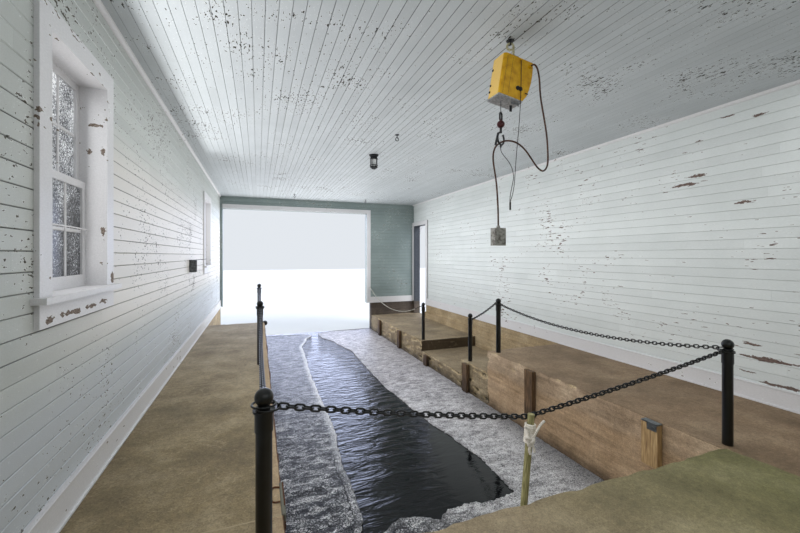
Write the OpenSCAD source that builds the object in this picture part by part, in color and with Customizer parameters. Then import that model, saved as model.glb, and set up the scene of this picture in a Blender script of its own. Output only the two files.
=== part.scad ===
// Boathouse with one boat bay: board walls on a concrete base, a boat slip in the middle,
// a walkway on its left, a stepped deck on its right and a gable roof on top.
// The right half of the room faces +X, the lake lies at +Y and the water level is at Z 0.

/* [Room] */
// Inside width between the side walls
room_w = 5780; // [5000:10:7000]
// Inside length between the end walls
room_l = 12200; // [10160:10:15000]
// Height of the ceiling over the left walkway
ceiling_h = 3075; // [2560:5:3700]
// Thickness of the walls
wall_t = 200; // [150:5:260]

/* [Slip and decks] */
// Top of the left walkway and the near slab over the water
near_z = 920; // [700:10:1200]
// How much lower the right deck lies
right_drop = 70; // [40:5:120]
// Width of the left walkway
walkway_w = 1125; // [900:5:1400]
// Length of the left walkway from the back wall
walkway_l = 9220; // [7600:10:9800]
// Width of the open slip
slip_w = 3220; // [2700:10:3600]
// Length of the near slab from the back wall
near_slab_l = 2400; // [1800:10:3000]
// How far the near slab stops short of the right slip wall
slab_gap = 92; // [60:2:160]
// Length of the right deck from the back wall
right_deck_l = 5700; // [4800:10:6400]
// Length of the lower step after the right deck
step_l = 860; // [600:10:1000]
// Top of the lower step over the water
step_z = 500; // [420:10:560]
// Length of the middle landing after the step
landing_l = 1730; // [1400:10:2000]
// Top of the middle landing over the water
landing_z = 240; // [180:10:300]
// Top of the far landing over the water
far_z = 460; // [400:10:520]
// How far the footing ledge stands out of the right foundation
ledge_out = 45; // [30:5:80]
// Top of the footing ledge over the water
ledge_z = 640; // [560:10:700]

/* [Boat opening] */
// Width of the left post of the boat opening, seen from the room
post_w = 64; // [50:2:120]
// Distance from the right wall to the boat opening
front_wall_w = 1577; // [1300:5:1800]
// Height of the boat opening over the left walkway
boat_head_h = 2735; // [2250:5:2800]
// Width of the boards round the openings
casing_w = 120; // [90:2:140]
// Thickness of the boards round the openings
casing_t = 22; // [16:1:28]

/* [Side doorway] */
// Width of the side doorway
door_w = 930; // [760:5:1150]
// Distance from the front wall to the side doorway
door_corner = 110; // [110:5:400]
// Top of the side doorway over the water
door_head_z = 3300; // [2900:10:3500]
// Thickness of the jamb boards
jamb_t = 25; // [18:1:32]

/* [Windows] */
// Middle of each window from the back wall
window_at = [3360, 9350];
// Clear width of each window
window_w = [740, 900];
// Sill of the windows over the left walkway
sill_h = 1220; // [1000:10:1250]
// Clear height of the windows
window_h = 1330; // [1050:10:1400]
// Thickness of the window jamb boards
window_jamb_t = 20; // [16:1:26]
// Depth from the inside face of the wall to the inner sash
sash_depth = 100; // [70:2:105]
// Thickness of each sash
sash_t = 34; // [28:1:38]
// Width of the sash stiles and rails
sash_w = 46; // [38:1:55]
// Height of the bottom rail of the lower sash
bottom_rail = 76; // [60:2:90]
// Thickness of the glass
glass_t = 4; // [3:1:6]
// How far the stool stands out into the room
stool_out = 62; // [45:1:80]
// Thickness of the stool
stool_t = 32; // [24:1:40]

/* [Trim] */
// Height of the baseboards
base_h = 185; // [140:5:220]
// Thickness of the baseboards
base_t = 20; // [16:1:26]
// Radius of the moulding under the ceiling
mould_r = 32; // [20:1:45]
// Thickness of the ceiling boards
ceiling_t = 22; // [18:1:30]

/* [Roof] */
// Height of the walls above the ceiling
attic_curb = 205; // [160:5:260]
// Roof slope in degrees
roof_pitch = 27; // [20:1:35]
// Overhang at the eaves
eave_out = 420; // [300:10:600]
// Overhang at the gables
gable_out = 320; // [200:10:450]
// Thickness of the roof slopes
roof_t = 130; // [90:5:180]
// Width of each wing of the ridge cap
ridge_w = 160; // [120:5:220]
// Thickness of the ridge cap
ridge_t = 12; // [8:1:20]

/* [Bollards and chains] */
// Height of the bollards
bollard_h = 830; // [700:5:950]
// Outer diameter of the bollard pipe
pipe_d = 72; // [56:2:86]
// Distance from the slip edge to the bollards
bollard_in = 115; // [90:5:160]
// Distances of the left bollards from the back wall
left_bollard_at = [2400, 5900, 9120];
// Distances of the right deck bollards from the back wall
right_bollard_at = [2505, 5560];

// Thickness of the chain wire
wire_d = 10; // [8:1:12]
// Inner length of each chain link
link_l = 36; // [33:1:42]
// Outer width of each chain link
link_w = 36; // [34:1:42]
// Height of the pole that the front chain is tied to, over the near slab
pole_h = 490; // [420:10:560]
// Diameter of the pole
pole_d = 40; // [32:1:50]
// Distance of the pole from the left slip wall
pole_in = 1360; // [1100:10:1600]

/* [Slip fittings] */
// Distance of the first fender from the back wall
fender_first = 3020; // [2700:10:3200]
// Spacing of the fenders
fender_step = 1640; // [1400:10:1700]
// Width of the fender timbers
fender_w = 150; // [120:5:200]
// Thickness of the fender timbers
fender_t = 60; // [45:5:80]

/* [Hoist] */
// Distance of the hoist from the back wall
hoist_at = 3035; // [2600:5:3400]
// Distance of the hoist left of the middle
hoist_left = 62; // [0:1:200]
// Width of the hoist housing
hoist_w = 258; // [220:2:300]
// Depth of the hoist housing
hoist_l = 143; // [120:1:180]
// Height of the hoist housing
hoist_h = 318; // [280:2:340]
// Sideways lean of the hoist in degrees
hoist_lean = 10; // [0:1:12]
// Length of the load hook from its rope thimble to its foot
load_hook_l = 257; // [230:1:280]
// Height of the switch box on the pendant cable
switch_h = 133; // [110:1:160]

/* [Ceiling light] */
// Distance of the light from the back wall
light_at = 6605; // [6000:5:7200]
// Distance of the light and the ceiling hooks left of the middle
fittings_left = 120; // [0:10:300]
// Diameter of the light base
light_d = 160; // [130:2:180]
// Height of the light with its cage
light_h = 236; // [200:2:270]

/* [Hidden] */
$fn = 48;
eps = 1;
stool_end = 30;
sill_out = 70;
// Gap left between pieces that lie on each other
seat_gap = 0.3;
half_w = room_w / 2;
half_l = room_l / 2;
out_x = half_w + wall_t;
out_y = half_l + wall_t;
right_z = near_z - right_drop;
slip_x0 = -half_w + walkway_w;
slip_x1 = slip_x0 + slip_w;
near_y = -half_l + near_slab_l;
walk_y = -half_l + walkway_l;
deck_y = -half_l + right_deck_l;
step_y = deck_y + step_l;
landing_y = step_y + landing_l;
ceiling_z = near_z + ceiling_h;
plate_z = ceiling_z + attic_curb;
boat_x0 = -half_w + post_w;
boat_x1 = half_w - front_wall_w;
boat_head_z = near_z + boat_head_h;
door_y1 = half_l - door_corner;
door_y0 = door_y1 - door_w;
sill_z = near_z + sill_h;
window_top = sill_z + window_h;

concrete = "#8A7A60";
slab_green = "#6A6748";
board_paint = "#BAC5C2";
trim_paint = "#D9D9DE";
roof_grey = "#5C5F60";
post_black = "#17181A";

// A box given by its lowest and highest corners
module block(lo, hi) {
    translate(lo) cube(hi - lo);
}

module left_walkway() {
    color(concrete) block([-half_w, -half_l, 0], [slip_x0, walk_y, near_z]);
}

module near_slab() {
    color(slab_green) block([slip_x0, -half_l, 0], [slip_x1 - slab_gap, near_y, near_z]);
}

// The deck fills the strip beside the near slab and then follows the slip
module right_deck() {
    color(concrete) linear_extrude(right_z)
        polygon([[slip_x1 - slab_gap, -half_l], [half_w, -half_l], [half_w, deck_y],
                 [slip_x1, deck_y], [slip_x1, near_y], [slip_x1 - slab_gap, near_y]]);
}

module lower_step() {
    color(concrete) block([slip_x1, deck_y, 0], [half_w - ledge_out, step_y, step_z]);
}

module middle_landing() {
    color(concrete) block([slip_x1, step_y, 0], [half_w - ledge_out, landing_y, landing_z]);
}

// The far landing runs out through the side doorway as its threshold
module far_landing() {
    color(concrete) linear_extrude(far_z)
        polygon([[slip_x1, landing_y], [half_w - ledge_out, landing_y],
                 [half_w - ledge_out, door_y0], [out_x, door_y0], [out_x, door_y1],
                 [half_w, door_y1], [half_w, half_l], [slip_x1, half_l]]);
}

module left_foundation() {
    color(concrete) block([-out_x, -out_y, 0], [-half_w, out_y, near_z]);
}

module back_foundation() {
    color(concrete) block([-half_w, -out_y, 0], [half_w, -half_l, near_z]);
}

// The footing ledge shows beside the lower step and the landings
module right_foundation() {
    color(concrete) union() {
        block([half_w, -out_y, 0], [out_x, door_y0, right_z]);
        block([half_w - ledge_out, deck_y, 0], [half_w, door_y0, ledge_z]);
    }
}

module front_foundation() {
    color(concrete) union() {
        block([slip_x1, half_l, 0], [out_x, out_y, right_z]);
        block([half_w, door_y1, 0], [out_x, half_l, right_z]);
    }
}

module left_wall() {
    color(board_paint) difference() {
        block([-out_x, -half_l, near_z], [-half_w, half_l, plate_z]);
        for (i = [0 : len(window_at) - 1])
            block([-out_x - eps, window_y(i) - window_w[i] / 2 - window_jamb_t,
                   sill_z - stool_t],
                  [-half_w + eps, window_y(i) + window_w[i] / 2 + window_jamb_t,
                   window_top + window_jamb_t]);
    }
}

function window_y(i) = -half_l + window_at[i];

module back_wall() {
    color(board_paint) block([-out_x, -out_y, near_z], [out_x, -half_l, plate_z]);
}

module right_wall() {
    color(board_paint) block([half_w, -half_l, right_z], [out_x, door_y0 - jamb_t, plate_z]);
}

module door_head_wall() {
    color(board_paint)
        block([half_w, door_y0 - jamb_t, door_head_z + jamb_t], [out_x, door_y1 + jamb_t, plate_z]);
}

// The front wall turns the corner up to the side doorway
module front_wall() {
    color(board_paint) union() {
        block([boat_x1, half_l, right_z], [out_x, out_y, plate_z]);
        block([half_w, door_y1 + jamb_t, right_z], [out_x, half_l, plate_z]);
    }
}

module front_post() {
    color(board_paint) block([-out_x, half_l, near_z], [boat_x0, out_y, plate_z]);
}

module front_lintel() {
    color(board_paint) block([boat_x0, half_l, boat_head_z], [boat_x1, out_y, plate_z]);
}

module ceiling() {
    color(board_paint)
        block([-half_w, -half_l, ceiling_z], [half_w, half_l, ceiling_z + ceiling_t]);
}

// Quarter round that runs along one wall
module quarter_round(length) {
    rotate([90, 0, 90]) linear_extrude(length) intersection() {
        circle(mould_r);
        square(mould_r);
    }
}

module ceiling_moulding() {
    inner_l = room_l - 2 * mould_r;
    color(trim_paint) translate([0, 0, ceiling_z]) {
        translate([half_w, -inner_l / 2, 0]) rotate([0, 180, 90]) mirror([1, 0, 0]) quarter_round(inner_l);
        translate([-half_w, inner_l / 2, 0]) rotate([0, 180, -90]) mirror([1, 0, 0]) quarter_round(inner_l);
    }
}

// Plan of one continuous baseboard from the boat opening post round to the side doorway
module baseboards() {
    color(trim_paint) {
        translate([0, 0, near_z]) linear_extrude(base_h)
            polygon([[-half_w, half_l], [-half_w, -half_l], [half_w, -half_l], [half_w, -half_l + base_t],
                     [-half_w + base_t, -half_l + base_t], [-half_w + base_t, half_l]]);
        block([half_w - base_t, -half_l + base_t + eps, right_z],
              [half_w, door_y0 - casing_w, right_z + base_h]);
        block([boat_x1 + casing_w, half_l - base_t, right_z], [half_w, half_l, right_z + base_h]);
    }
}

roof_run = out_x + eave_out;
roof_l = 2 * (out_y + gable_out);
ridge_z = plate_z + out_x * tan(roof_pitch);
eave_z = plate_z - eave_out * tan(roof_pitch);
roof_v = roof_t / cos(roof_pitch);

// Section of one roof slope, drawn from the ridge to the eave
module roof_slope() {
    translate([0, roof_l / 2, 0]) rotate([90, 0, 0]) linear_extrude(roof_l)
        polygon([[0, ridge_z], [roof_run, eave_z], [roof_run, eave_z + roof_v], [0, ridge_z + roof_v]]);
}

module right_roof() {
    color(roof_grey) roof_slope();
}

module left_roof() {
    color(roof_grey) mirror([1, 0, 0]) roof_slope();
}

module ridge_cap() {
    top = ridge_z + roof_v + seat_gap;
    drop = ridge_w * tan(roof_pitch);
    rise = ridge_t / cos(roof_pitch);
    color(roof_grey) translate([0, roof_l / 2, 0]) rotate([90, 0, 0]) linear_extrude(roof_l)
        polygon([[0, top], [ridge_w, top - drop], [ridge_w, top - drop + rise], [0, top + rise],
                 [-ridge_w, top - drop + rise], [-ridge_w, top - drop]]);
}

module gables() {
    color(board_paint) for (side = [-1, 1])
        translate([0, side * (out_y - wall_t / 2) + wall_t / 2, 0]) rotate([90, 0, 0])
            linear_extrude(wall_t)
                polygon([[-out_x, plate_z], [out_x, plate_z], [0, ridge_z]]);
}

module boat_opening_casing() {
    y0 = half_l - casing_t;
    color(trim_paint) union() {
        block([boat_x1, y0, right_z], [boat_x1 + casing_w, half_l, boat_head_z]);
        block([boat_x0, y0, boat_head_z], [boat_x1 + casing_w, half_l, boat_head_z + casing_w]);
        translate(rope_eye) rotate([-90, 0, 0]) cylinder(h = eye_l + casing_t / 2, d = eye_d);
    }
}

module side_door_casing() {
    x0 = half_w - casing_t;
    color(trim_paint) union() {
        block([x0, door_y0 - casing_w, right_z], [half_w, door_y0, door_head_z]);
        block([x0, door_y0 - casing_w, door_head_z], [half_w, half_l, door_head_z + casing_w]);
    }
}

module side_door_jamb() {
    color("#4A4E52") union() {
        block([half_w, door_y0 - jamb_t, right_z], [out_x, door_y0, door_head_z]);
        block([half_w, door_y1, right_z], [out_x, door_y1 + jamb_t, door_head_z]);
        block([half_w, door_y0 - jamb_t, door_head_z], [out_x, door_y1 + jamb_t, door_head_z + jamb_t]);
    }
}

// Casing boards, stool and apron of one window, on the inside face of the wall
module window_casing(i) {
    y = window_y(i);
    a = window_w[i] / 2;
    x0 = -half_w;
    translate([x0, y, 0]) {
        for (side = [-1, 1])
            translate([0, side * (a + casing_w / 2), 0])
                block([0, -casing_w / 2, sill_z], [casing_t, casing_w / 2, window_top]);
        block([0, -a - casing_w, window_top], [casing_t, a + casing_w, window_top + casing_w]);
        block([0, -a - casing_w - stool_end, sill_z - stool_t],
              [stool_out, a + casing_w + stool_end, sill_z]);
        block([0, -a - casing_w, sill_z - stool_t - casing_w], [casing_t, a + casing_w, sill_z - stool_t]);
    }
}

// Outer boards and drip sill of one window
module outer_casing(i) {
    a = window_w[i] / 2;
    translate([-out_x - casing_t, window_y(i), 0]) {
        for (side = [-1, 1])
            translate([0, side * (a + casing_w / 2), 0])
                block([0, -casing_w / 2, sill_z], [casing_t, casing_w / 2, window_top]);
        block([0, -a - casing_w, window_top], [casing_t, a + casing_w, window_top + casing_w]);
        block([casing_t - sill_out, -a - casing_w - stool_end, sill_z - stool_t],
              [casing_t, a + casing_w + stool_end, sill_z]);
    }
}

module window_casings() {
    color(trim_paint) for (i = [0 : len(window_at) - 1]) {
        window_casing(i);
        outer_casing(i);
    }
}

// Box of jamb boards with a sloping outer sill through the wall
module window_jamb(i) {
    y = window_y(i);
    a = window_w[i] / 2;
    difference() {
        block([-out_x, y - a - window_jamb_t, sill_z - stool_t],
              [-half_w, y + a + window_jamb_t, window_top + window_jamb_t]);
        block([-out_x - eps, y - a, sill_z], [-half_w + eps, y + a, window_top]);
    }
}

module window_jambs() {
    color(trim_paint) for (i = [0 : len(window_at) - 1]) window_jamb(i);
}

// One sash as a frame with its glazing hole
module sash(w, h, low_rail) {
    difference() {
        translate([0, -w / 2, 0]) cube([sash_t, w, h]);
        translate([-eps, -w / 2 + sash_w, low_rail])
            cube([sash_t + 2 * eps, w - 2 * sash_w, h - low_rail - sash_w]);
    }
}

sash_h = (window_h + sash_w) / 2;
lower_sash_x = -half_w - sash_depth - sash_t;
sash_gap = 1;
upper_sash_x = lower_sash_x - sash_t - sash_gap;

module window_sashes() {
    color(trim_paint) for (i = [0 : len(window_at) - 1]) {
        translate([lower_sash_x, window_y(i), sill_z]) sash(window_w[i], sash_h, bottom_rail);
        translate([upper_sash_x, window_y(i), window_top - sash_h]) sash(window_w[i], sash_h, sash_w);
    }
}

module window_glass() {
    color("#AEB6BC") for (i = [0 : len(window_at) - 1]) {
        w = window_w[i] - 2 * sash_w;
        translate([lower_sash_x + sash_t / 2, window_y(i), sill_z])
            block([0, -w / 2, bottom_rail], [glass_t, w / 2, sash_h - sash_w]);
        translate([upper_sash_x + sash_t / 2, window_y(i), window_top - sash_h])
            block([0, -w / 2, sash_w], [glass_t, w / 2, sash_h - sash_w]);
    }
}

cap_skirt = 85;
cap_wall = 4;
neck_d = 54;
ball_d = 82;
flange_d = 96;
flange_t = 10;

// Pipe post with a slip on cap: skirt, flange, neck and ball in one revolved outline
module bollard() {
    ball_z = bollard_h - ball_d / 2;
    flange_z = flange_top - flange_t;
    color(post_black) union() {
        cylinder(h = flange_z, d = pipe_d);
        translate([0, 0, flange_z - cap_skirt]) cylinder(h = cap_skirt, d = pipe_d + 2 * cap_wall);
        translate([0, 0, flange_z]) cylinder(h = flange_t, d = flange_d);
        translate([0, 0, flange_z]) cylinder(h = ball_z - flange_z, d = neck_d);
        translate([0, 0, ball_z]) sphere(d = ball_d);
    }
}

left_bollard_x = slip_x0 - bollard_in;
right_bollard_x = slip_x1 + bollard_in;
step_bollard_in = 170;
landing_bollard_in = 110;

// Places of the right bollards: two on the deck, one on the lower step, one on the far landing
right_bollards_xyz = [
    for (at = right_bollard_at) [right_bollard_x, -half_l + at, right_z],
    [right_bollard_x, step_y - step_bollard_in, step_z],
    [right_bollard_x, landing_y + landing_bollard_in, far_z]
];

module left_bollards() {
    for (at = left_bollard_at) translate([left_bollard_x, -half_l + at, near_z]) bollard();
}

// The last bollard has a stub that the rope is made fast to
module right_bollards() {
    for (p = right_bollards_xyz) translate(p) bollard();
    color(post_black) translate([rope_post[0], rope_post[1] + neck_d / 4, rope_post_z]) rotate([-90, 0, 0])
        cylinder(h = rope_stub - neck_d / 4, d = stub_d);
}

run_gap = 0.3;
ring_slack = 20;
neck_h = 54;
flange_top = bollard_h - ball_d / 2 - neck_h;

// Height of a chain ring on its bollard; the first ring lies on the flange, the next one on it
function ring_z(level) = flange_top + run_gap + wire_d / 2 + level * (wire_d + run_gap);

ring_r = neck_d / 2 + wire_d / 2 + ring_slack;
ring_shift = ring_r - wire_d / 2 - neck_d / 2 - run_gap;
ring_reach = ring_shift + ring_r - wire_d / 2;

function flat_dir(a, b) = let (d = [b[0] - a[0], b[1] - a[1], 0]) d / norm(d);

// Where a chain starts on the ring of the bollard that stands at a, towards b
function chain_end(a, b, level) = a + ring_reach * flat_dir(a, b) + [0, 0, ring_z(level)];

// Middle of the ring round the neck of the bollard at a, pulled towards b
function neck_middle(a, b, level) = a + ring_shift * flat_dir(a, b) + [0, 0, ring_z(level)];

module neck_ring() {
    rotate_extrude() translate([ring_r, 0]) circle(d = wire_d);
}

function sag_point(a, b, sag, t) = a + t * (b - a) - [0, 0, 4 * sag * t * (1 - t)];

// Step in thickness where a moulded bend meets its straight side
shoulder = 0.4;

// Ring of round wire with straight sides, lying along X with its middle at the origin
module stadium_ring(straight, bend_r, wire) {
    union() for (side = [-1, 1]) {
        translate([side * straight / 2, 0, 0]) rotate(side > 0 ? -90 : 90)
            rotate_extrude(angle = 180) translate([bend_r, 0]) circle(d = wire);
        translate([-straight / 2 - eps, side * bend_r, 0]) rotate([0, 90, 0])
            cylinder(h = straight + 2 * eps, d = wire - shoulder);
    }
}

// One link along +X from its first contact point to its last
module link(length) {
    bend_r = (link_w - wire_d) / 2;
    translate([length / 2, 0, 0]) stadium_ring(length + wire_d + run_gap - 2 * bend_r, bend_r, wire_d);
}

// Start, step and quarter turns of every link along a sagging line, so that the last one stands
// upright to grip its ring
function run_links(a, b, sag, first = 0) =
    let (span = norm(b - a),
         count = 2 * round((span + 8 * sag * sag / (3 * span)) / link_l / 2 + 0.5) - 1 + first)
    [for (i = [0 : count - 1])
        [sag_point(a, b, sag, i / count),
         sag_point(a, b, sag, (i + 1) / count) - sag_point(a, b, sag, i / count), i + 1 + first]];

left_bollards_xyz = [for (at = left_bollard_at) [left_bollard_x, -half_l + at, near_z]];

// Sag of each chain between its two bollards
left_sags = [150, 140];
right_sags = [130, 20];
front_sag = 12;
strands = 5;
strand_joint_d = wire_d + 2;

// A far chain between two bollards, plain as a sagging strand of rods with its two neck rings
module far_chain(a, b, sag) {
    first = chain_end(a, b, 1);
    last = chain_end(b, a, 0);
    translate(neck_middle(a, b, 1)) neck_ring();
    translate(neck_middle(b, a, 0)) neck_ring();
    for (i = [0 : strands - 1]) {
        p = sag_point(first, last, sag, i / strands);
        d = sag_point(first, last, sag, (i + 1) / strands) - p;
        translate(p) rotate([0, acos(d[2] / norm(d)), atan2(d[1], d[0])]) union() {
            cylinder(h = norm(d), d = wire_d);
            if (i > 0) sphere(d = strand_joint_d);
        }
    }
}

// Each side chain's node also holds the ring that the front chain starts from
module left_chain() {
    p = left_bollards_xyz;
    color(post_black) {
        for (i = [0, 1]) far_chain(p[i], p[i + 1], left_sags[i]);
        translate(neck_middle(p[0], tie, 0)) neck_ring();
    }
}

module right_chain() {
    p = right_bollards_xyz;
    color(post_black) {
        for (i = [0, 1]) far_chain(p[i], p[i + 1], right_sags[i]);
        translate(neck_middle(p[0], tie, 0)) neck_ring();
    }
}

pole_x = slip_x0 + pole_in;
pole_y = near_y + pole_d / 2 + run_gap;
pole_top = near_z + pole_h;
pole_lean = 5.7;
tie_drop = 30;
tie = [pole_x, pole_y + pole_d / 2 + link_w / 2 + run_gap, pole_top - tie_drop];

// The front chain runs past the lake side of the pole, link by link, from neck ring to neck ring
module front_chain() {
    a = left_bollards_xyz[0];
    b = right_bollards_xyz[0];
    color(post_black) for (part = concat(run_links(chain_end(a, tie, 0), tie, front_sag),
                                         run_links(tie, chain_end(b, tie, 0), front_sag, 1))) {
        step = part[1];
        translate(part[0]) rotate([0, -atan2(step[2], norm([step[0], step[1]])), atan2(step[1], step[0])])
            rotate([90 * part[2], 0, 0]) link(norm(step));
    }
}

// Frame of the leaning pole, with its origin where the axis passes the tie
module along_pole() {
    translate([pole_x, pole_y, pole_top - tie_drop]) rotate([0, pole_lean, 0]) children();
}

module chain_pole() {
    color("#8C8A5E") difference() {
        along_pole() translate([0, 0, -2 * near_z]) cylinder(h = 2 * near_z + tie_drop, d = pole_d);
        block([pole_x - near_z, pole_y - pole_d, -near_z], [pole_x + near_z, pole_y + pole_d, 0]);
    }
}

lashing_d = 12;
lashing_turns = 9;

// Turns of rope round the pole under the chain
module pole_lashing() {
    color("#E4DDD2") along_pole() for (i = [0 : lashing_turns - 1])
        translate([0, 0, -link_w / 2 - lashing_d - i * (lashing_d + run_gap)])
            rotate_extrude() translate([(pole_d + lashing_d) / 2 + run_gap, 0]) circle(d = lashing_d);
}

// Tube swept along hand chosen points, with round caps left flat
function tube_dir(p, i) =
    let (n = len(p) - 1, d = p[min(i + 1, n)] - p[max(i - 1, 0)]) d / norm(d);
function tube_ring(p, i, r, sides) =
    let (d = tube_dir(p, i), ref = abs(d[1]) > 0.9 ? [1, 0, 0] : [0, 1, 0],
         u = cross(d, ref) / norm(cross(d, ref)), v = cross(d, u))
    [for (k = [0 : sides - 1]) p[i] + r * (cos(k * 360 / sides) * u + sin(k * 360 / sides) * v)];
module tube(p, d, sides = 10) {
    n = len(p);
    points = [for (i = [0 : n - 1]) each tube_ring(p, i, d / 2, sides)];
    walls = [for (i = [0 : n - 2], k = [0 : sides - 1])
        [i * sides + k, i * sides + (k + 1) % sides,
         (i + 1) * sides + (k + 1) % sides, (i + 1) * sides + k]];
    first_cap = [for (k = [0 : sides - 1]) sides - 1 - k];
    last_cap = [for (k = [0 : sides - 1]) (n - 1) * sides + k];
    polyhedron(points, concat([first_cap], walls, [last_cap]), convexity = 10);
}

// Points of a smooth curve through the hand chosen ones
function bend(a, b, c, d, t) =
    0.5 * (2 * b + (c - a) * t + (2 * a - 5 * b + 4 * c - d) * t * t
           + (3 * b - a - 3 * c + d) * t * t * t);
function smooth_path(p, parts) =
    let (n = len(p) - 1)
    concat([for (i = [0 : n - 1], k = [0 : parts - 1])
        bend(p[max(i - 1, 0)], p[i], p[i + 1], p[min(i + 2, n)], k / parts)], [p[n]]);

rope_d = 20;
stub_d = 18;
eye_d = 34;
eye_l = 24;
rope_lead = 16;
rope_over_flange = 12;
rope_eye = [1390, half_l - casing_t - eye_l, 1346];
rope_post = right_bollards_xyz[3];
rope_post_z = rope_post[2] + flange_top + rope_over_flange;
rope_stub = 58;
barrier_points = [rope_eye, rope_eye - [0, rope_lead, 0], [1404, 5800, 1252], [1412, 5620, 1170],
                  [1436, 5120, 1020],
                  [1458, 4660, 935], [1480, 4190, 898], [1502, 3730, 905], [1524, 3260, 960],
                  [1545, 2830, 1060], [1560, 2520, 1160],
                  [rope_post[0], rope_post[1] + rope_stub + rope_lead, rope_post_z],
                  [rope_post[0], rope_post[1] + rope_stub, rope_post_z]];

// The rope leaves its eye and its stub straight and hangs in a smooth curve between them
module barrier_rope() {
    last = len(barrier_points) - 1;
    curve = smooth_path([for (i = [1 : last - 1]) barrier_points[i]], 2);
    color("#B9B6A8") tube(concat([barrier_points[0]], curve, [barrier_points[last]]), rope_d);
}

function deck_top(y) = y < deck_y ? right_z : y < step_y ? step_z : y < landing_y ? landing_z : far_z;
fender_foot = [450, 240, 0, 0, 0, 0];
fender_below = 10;

module slip_fenders() {
    color("#5A4630") for (i = [0 : len(fender_foot) - 1]) {
        y = -half_l + fender_first + i * fender_step;
        block([slip_x1 - fender_t, y - fender_w / 2, fender_foot[i]],
              [slip_x1, y + fender_w / 2, deck_top(y) - fender_below]);
    }
}

ring_at = [3000, 5960, 7525];
ring_drop = 187;
ring_plate_d = 50;
ring_plate_t = 12;
mooring_r = 38;
mooring_wire = 11;
module mooring_rings() {
    color("#4A3A2E") for (at = ring_at) translate([slip_x0, -half_l + at, near_z - ring_drop]) union() {
        translate([0, 0, mooring_r]) rotate([0, 90, 0]) cylinder(h = ring_plate_t, d = ring_plate_d);
        translate([ring_plate_t, 0, 0]) rotate([0, 90, 0])
            rotate_extrude() translate([mooring_r, 0]) circle(d = mooring_wire);
    }
}

hoist_x = -hoist_left;
hoist_y = -half_l + hoist_at;
hoist_drop = 164;
hoist_top = ceiling_z - hoist_drop;
front_face_y = hoist_y - hoist_l / 2;

// Frame of the leaning hoist, with its origin in the middle of the housing's top
module along_hoist() {
    translate([hoist_x, hoist_y, hoist_top]) rotate([0, hoist_lean, 0]) children();
}

hook_wire = 17;
hook_r = 25;
hook_turn = -20;
hook_sweep = 300;
shank_d = hook_wire + 1;
hook_below = 47;
hook_z = ceiling_z - hook_below;
eye_wire = 10;
eye_r = 15;

// Black eye bolt with its plate, over the middle of the hook's bowl
module hoist_eye() {
    translate([hoist_x, hoist_y, 0]) rotate(hook_turn) translate([-hook_r, 0, 0]) union() {
        translate([0, 0, ceiling_z - hook_plate_t]) cylinder(h = hook_plate_t, d = hook_plate_d);
        translate([0, 0, hook_z + hook_r - (hook_wire + eye_wire) / 2 - run_gap + eye_r]) rotate([0, 90, 0])
            rotate_extrude() translate([eye_r, 0]) circle(d = eye_wire);
    }
}

clevis_h = 40;
clevis_w = 44;
clevis_hole = 12;
// Half widths of the clevis at its foot, shoulder and top, left and right of the shank
clevis_foot = [62, 52];
clevis_shoulder = 44;
clevis_head = [30, 26];

// Hook whose bowl hangs in the eye and whose shank stands in the clevis
module hoist_hanger() {
    shank_foot = hoist_top + clevis_h - clevis_hole;
    color("#C9C3A0") translate([hoist_x, hoist_y, 0]) rotate(hook_turn) union() {
        translate([-hook_r, 0, hook_z]) rotate([90, 0, 0])
            rotate_extrude(angle = hook_sweep) translate([hook_r, 0]) circle(d = hook_wire);
        translate([0, 0, shank_foot]) cylinder(h = hook_z - shank_foot, d = shank_d);
    }
}

// Cast clevis on top of the housing, with a hole for the shank
module hoist_clevis() {
    color("#6E7A6C") difference() {
        along_hoist() translate([0, clevis_w / 2, 0]) rotate([90, 0, 0]) linear_extrude(clevis_w)
            polygon([[-clevis_foot[0], seat_gap], [clevis_foot[1], seat_gap], [clevis_head[1], clevis_h],
                     [-clevis_head[0], clevis_h], [-clevis_shoulder, clevis_h / 2]]);
        translate([hoist_x, hoist_y, hoist_top + clevis_h - clevis_hole - seat_gap])
            cylinder(h = clevis_h, r = shank_d / 2 + 2 * seat_gap);
    }
}

corner_r = 28;
bulge_r = 560;
bulge = 8;
bulge_drop = 106;
foot_cut = [48, 20, 110];

// Outline of the housing from the front, with its bulging right side
module housing_face() {
    intersection() {
        translate([-hoist_w / 2, -hoist_h]) square([hoist_w + bulge, hoist_h]);
        translate([hoist_w / 2 + bulge - bulge_r, -bulge_drop]) circle(r = bulge_r, $fn = 96);
    }
}

// Outline of the housing from above, with its rounded front left corner
module housing_plan() {
    translate([-hoist_w / 2, -hoist_l / 2 + corner_r]) square([hoist_w + bulge, hoist_l - corner_r]);
    translate([-hoist_w / 2 + corner_r, -hoist_l / 2]) square([hoist_w + bulge - corner_r, hoist_l]);
    translate([-hoist_w / 2 + corner_r, -hoist_l / 2 + corner_r]) circle(r = corner_r);
}

// Housing with a chamfered right foot, the cable gland and the staple of the pull cord
module hoist_body() {
    color("#D9A520") union() {
        along_hoist() difference() {
            intersection() {
                translate([0, hoist_l / 2, 0]) rotate([90, 0, 0]) linear_extrude(hoist_l) housing_face();
                translate([0, 0, -hoist_h]) linear_extrude(hoist_h) housing_plan();
            }
            translate([hoist_w / 2, 0, -hoist_h]) rotate([90, 0, 0])
                linear_extrude(hoist_l + 2 * eps, center = true)
                    polygon([[-foot_cut[0], -eps], [foot_cut[1], -eps], [foot_cut[1], foot_cut[2]]]);
        }
        translate([cable_top[0], front_face_y + eps, cable_top[2]]) rotate([90, 0, 0])
            cylinder(h = gland_l + eps, d1 = gland_d, d2 = gland_tip_d);
        translate([cord_points[0][0], 0, cord_points[0][2]])
            block([-staple_w / 2, cord_y - staple_w / 2, 0], [staple_w / 2, front_face_y + eps, staple_w]);
    }
}

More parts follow.
